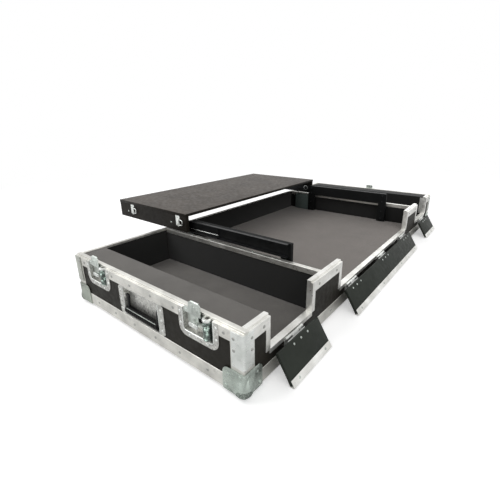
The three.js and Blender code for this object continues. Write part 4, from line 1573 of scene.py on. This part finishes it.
@dataclass
class Runner:
    """One pair's runner, with the carrier board and the cleat that hold it.

    The hole's rim is its bore, its radius and its height.
    """

    end: str
    side: int
    race_span: Pair = (-403.0, -58.0)
    race_place: Pair = (370.9, 146.2)
    race_radius: float = 1.0
    access_hole: Triple = (-193.0, 368.9, 158.5)
    hole_rim: Triple = (8.5, 10.2, 0.25)
    screw_columns: Pair = (-154.0, 172.0)
    screw_rows: tuple[float, ...] = (70.0, 100.0, 140.0, 163.0)
    leg_face: float = 355.3
    cleat_span: Pair = (-240.0, -169.3)
    cleat_across: Pair = (358.0, 377.6)
    cleat_heights: Pair = (57.3, 126.0)

    def build(self) -> None:
        """Dresses the channels and the carrier, and adds races, screws and a cleat."""
        channels = [f"runner_{part}_{self.end}" for part in ("outer", "middle", "inner")]
        dress(channels, BLACK_ZINC, edge=0.25)
        dress([f"carrier_{self.end}"], BLACK_PAINT, edge=0.8)
        self._races()
        self._screws()
        self._cleat()

    def _races(self) -> None:
        """Adds the bright ball race in the middle channel and its access hole's rim."""
        races = Workpiece(f"runner_races_{self.end}", f"middle_runner_{self.end}", BRIGHT_ZINC)
        (low, high), (y, z) = self.race_span, self.race_place
        races.rod((low, self.side * y, z), (high, self.side * y, z), self.race_radius)
        x, y, z = self.access_hole
        races.ring((x, self.side * y, z), (0, -self.side, 0), *self.hole_rim)
        races.done()

    def _screws(self) -> None:
        """Adds the dark screws of the carrier's legs."""
        screws = Workpiece(f"carrier_screws_{self.end}", "case", BLACK_ZINC)
        for x in self.screw_columns:
            for z in self.screw_rows:
                place = (x, self.side * self.leg_face, z)
                screws.screw(place, (0, -self.side, 0), size=3.2)
        screws.done()

    def _cleat(self) -> None:
        """Adds the grey cleat beside the carrier's left leg, on the divider."""
        cleat = Workpiece(f"carrier_cleat_{self.end}", "case", CLEAT_GREY)
        near, far = sorted(self.side * y for y in self.cleat_across)
        (left, right), (low, high) = self.cleat_span, self.cleat_heights
        cleat.box((left, near, low), (right, far, high), edge=1.2)
        cleat.done()


@dataclass(frozen=True)
class Lamp:
    """A soft square lamp, with its place and size in metres and its power in watts."""

    name: str
    place: Triple
    size: float
    power: float


@dataclass
class Studio:
    """The camera of the photograph, soft lamps, and a white floor, in metres and degrees."""

    place: Triple = (0.5812, -1.0091, 0.4497)
    pitch: float = -18.99
    yaw: float = -38.86
    roll: float = -0.76
    lens: float = 23.628
    sensor: float = 36.0
    shift: Pair = (-0.003, -0.0264)
    lamps: tuple[Lamp, ...] = (
        Lamp("key", (-1.6, -1.4, 2.3), 2.0, 36.0),
        Lamp("side", (2.4, -1.2, 1.5), 1.8, 16.0),
        Lamp("back", (0.4, 2.6, 1.9), 2.2, 16.0),
    )
    aim: Triple = (0.0, 0.0, 0.1)
    clip: Pair = (0.01, 100.0)
    world_light: float = 0.55
    floor: float = -0.0079
    floor_radius: float = 9.0
    floor_colour: Colour = (0.85, 0.85, 0.85, 1.0)
    floor_glow: float = 0.42
    floor_fade: Pair = (1.1, 2.6)

    def build(self) -> None:
        """Sets up everything around the case."""
        self._camera()
        for lamp in self.lamps:
            self._hang(lamp)
        self._world()
        self._floor()
        bpy.context.scene.view_settings.view_transform = "Standard"

    def _camera(self) -> None:
        """Places the camera where the photograph was taken from."""
        pitch, yaw, roll = (math.radians(a) for a in (self.pitch, self.yaw, self.roll))
        level = math.cos(pitch)
        ahead = Vector((math.sin(yaw) * level, math.cos(yaw) * level, math.sin(pitch)))
        right = ahead.cross(Vector(UP)).normalized()
        up = right.cross(ahead)
        across = right * math.cos(roll) + up * math.sin(roll)
        upright = up * math.cos(roll) - right * math.sin(roll)
        turn = Matrix((across, upright, -ahead)).transposed().to_4x4()
        data = bpy.data.cameras.new("camera")
        data.lens = self.lens
        data.sensor_width = self.sensor
        data.shift_x, data.shift_y = self.shift
        data.clip_start, data.clip_end = self.clip
        camera = bpy.data.objects.new("camera", data)
        camera.matrix_world = Matrix.Translation(self.place) @ turn
        bpy.context.scene.collection.objects.link(camera)
        bpy.context.scene.camera = camera

    def _hang(self, lamp: Lamp) -> None:
        """Hangs one lamp and aims it at the case.

        Args:
            lamp: The lamp.
        """
        data = bpy.data.lights.new(lamp.name, "AREA")
        data.shape = "SQUARE"
        data.size = lamp.size
        data.energy = lamp.power
        hung = bpy.data.objects.new(lamp.name, data)
        hung.location = lamp.place
        aim = Vector(self.aim) - Vector(lamp.place)
        hung.rotation_euler = aim.to_track_quat("-Z", "Y").to_euler()
        bpy.context.scene.collection.objects.link(hung)

    def _world(self) -> None:
        """Makes a plain world: white to the eye and in reflections, softer as light."""
        world = bpy.data.worlds.new("studio")
        tree = NodeTree(world)
        paths = tree.add("LightPath", {}).outputs
        seen = paths["Is Camera Ray"]
        for kind in ("Is Glossy Ray", "Is Transmission Ray"):
            either = tree.add("Math", {0: seen, 1: paths[kind]})
            either.operation = "MAXIMUM"
            seen = either.outputs["Value"]
        strength = tree.spread(seen, (0.0, 1.0), (self.world_light, 1.0))
        tree.feed(tree.nodes["Background"], {"Color": (1, 1, 1, 1), "Strength": strength})
        bpy.context.scene.world = world

    def _floor(self) -> None:
        """Lays a wide white floor that keeps the case's shadow and fades into the world."""
        part = bmesh.new()
        bmesh.ops.create_circle(part, cap_ends=True, segments=96, radius=self.floor_radius)
        bmesh.ops.translate(part, vec=(0, 0, self.floor), verts=part.verts)
        data = bpy.data.meshes.new("floor")
        part.to_mesh(data)
        part.free()
        data.materials.append(self._floor_coat().material)
        floor = bpy.data.objects.new("floor", data)
        bpy.context.scene.collection.objects.link(floor)

    def _floor_coat(self) -> Coat:
        """Makes the floor's material: matt, brighter to the eye, and plain white far away.

        Returns:
            The material's nodes.
        """
        coat = Coat("floor_white")
        looks = {"Roughness": 0.9, "Specular IOR Level": 0.1, "Base Color": self.floor_colour}
        coat.feed(coat.shader, looks)
        matt = coat.shader.outputs["BSDF"]
        glow = coat.add("Emission", {"Strength": self.floor_glow}).outputs["Emission"]
        lit = coat.add("AddShader", {0: matt, 1: glow}).outputs["Shader"]
        seen = coat.add("LightPath", {}).outputs["Is Camera Ray"]
        near = coat.add("MixShader", {0: seen, 1: matt, 2: lit}).outputs["Shader"]
        away = coat.add("VectorMath", {0: coat.place})
        away.operation = "LENGTH"
        share = coat.spread(away.outputs["Value"], self.floor_fade, (0.0, 1.0))
        white = coat.add("Emission", {}).outputs["Emission"]
        fade = coat.add("MixShader", {0: share, 1: near, 2: white}).outputs["Shader"]
        coat.feed(coat.nodes["Material Output"], {"Surface": fade})
        return coat


END_FLAP = {"half": 76.25, "hinges": (0.0,), "edge_rivets": (-52.0, 52.0)}
FLAPS = (
    Flap("near", centre=-518.75, **END_FLAP),
    Flap(
        "middle",
        centre=0.0,
        half=291.0,
        hinges=(-230.5, 0.0, 230.5),
        edge_rivets=(-262.0, -90.0, 90.0, 262.0),
    ),
    Flap("far", centre=518.75, **END_FLAP),
)
LATCHES = (
    Latch("near_left", x=-180.09, side=ENDS["near"]),
    Latch("near_right", x=180.09, side=ENDS["near"]),
    Latch("far", x=0.0, side=ENDS["far"]),
)


def main() -> None:
    """Dresses the case sub-assembly by sub-assembly and sets up the studio."""
    logging.basicConfig(level=logging.INFO, format="%(name)s: %(message)s")
    Shell().build()
    Edging().build()
    for end, side in ENDS.items():
        for hand_name, hand in HANDS.items():
            BallCorner(hand, side).build(f"{end}_{hand_name}")
            CornerBrace(hand, side).build(f"{end}_{hand_name}")
    for flap in FLAPS:
        flap.build()
    for latch in LATCHES:
        latch.build()
    CarryHandle().build()
    Shelf().build()
    for end, side in ENDS.items():
        Runner(end, side).build()
    Studio().build()


if __name__ == "__main__":
    main()
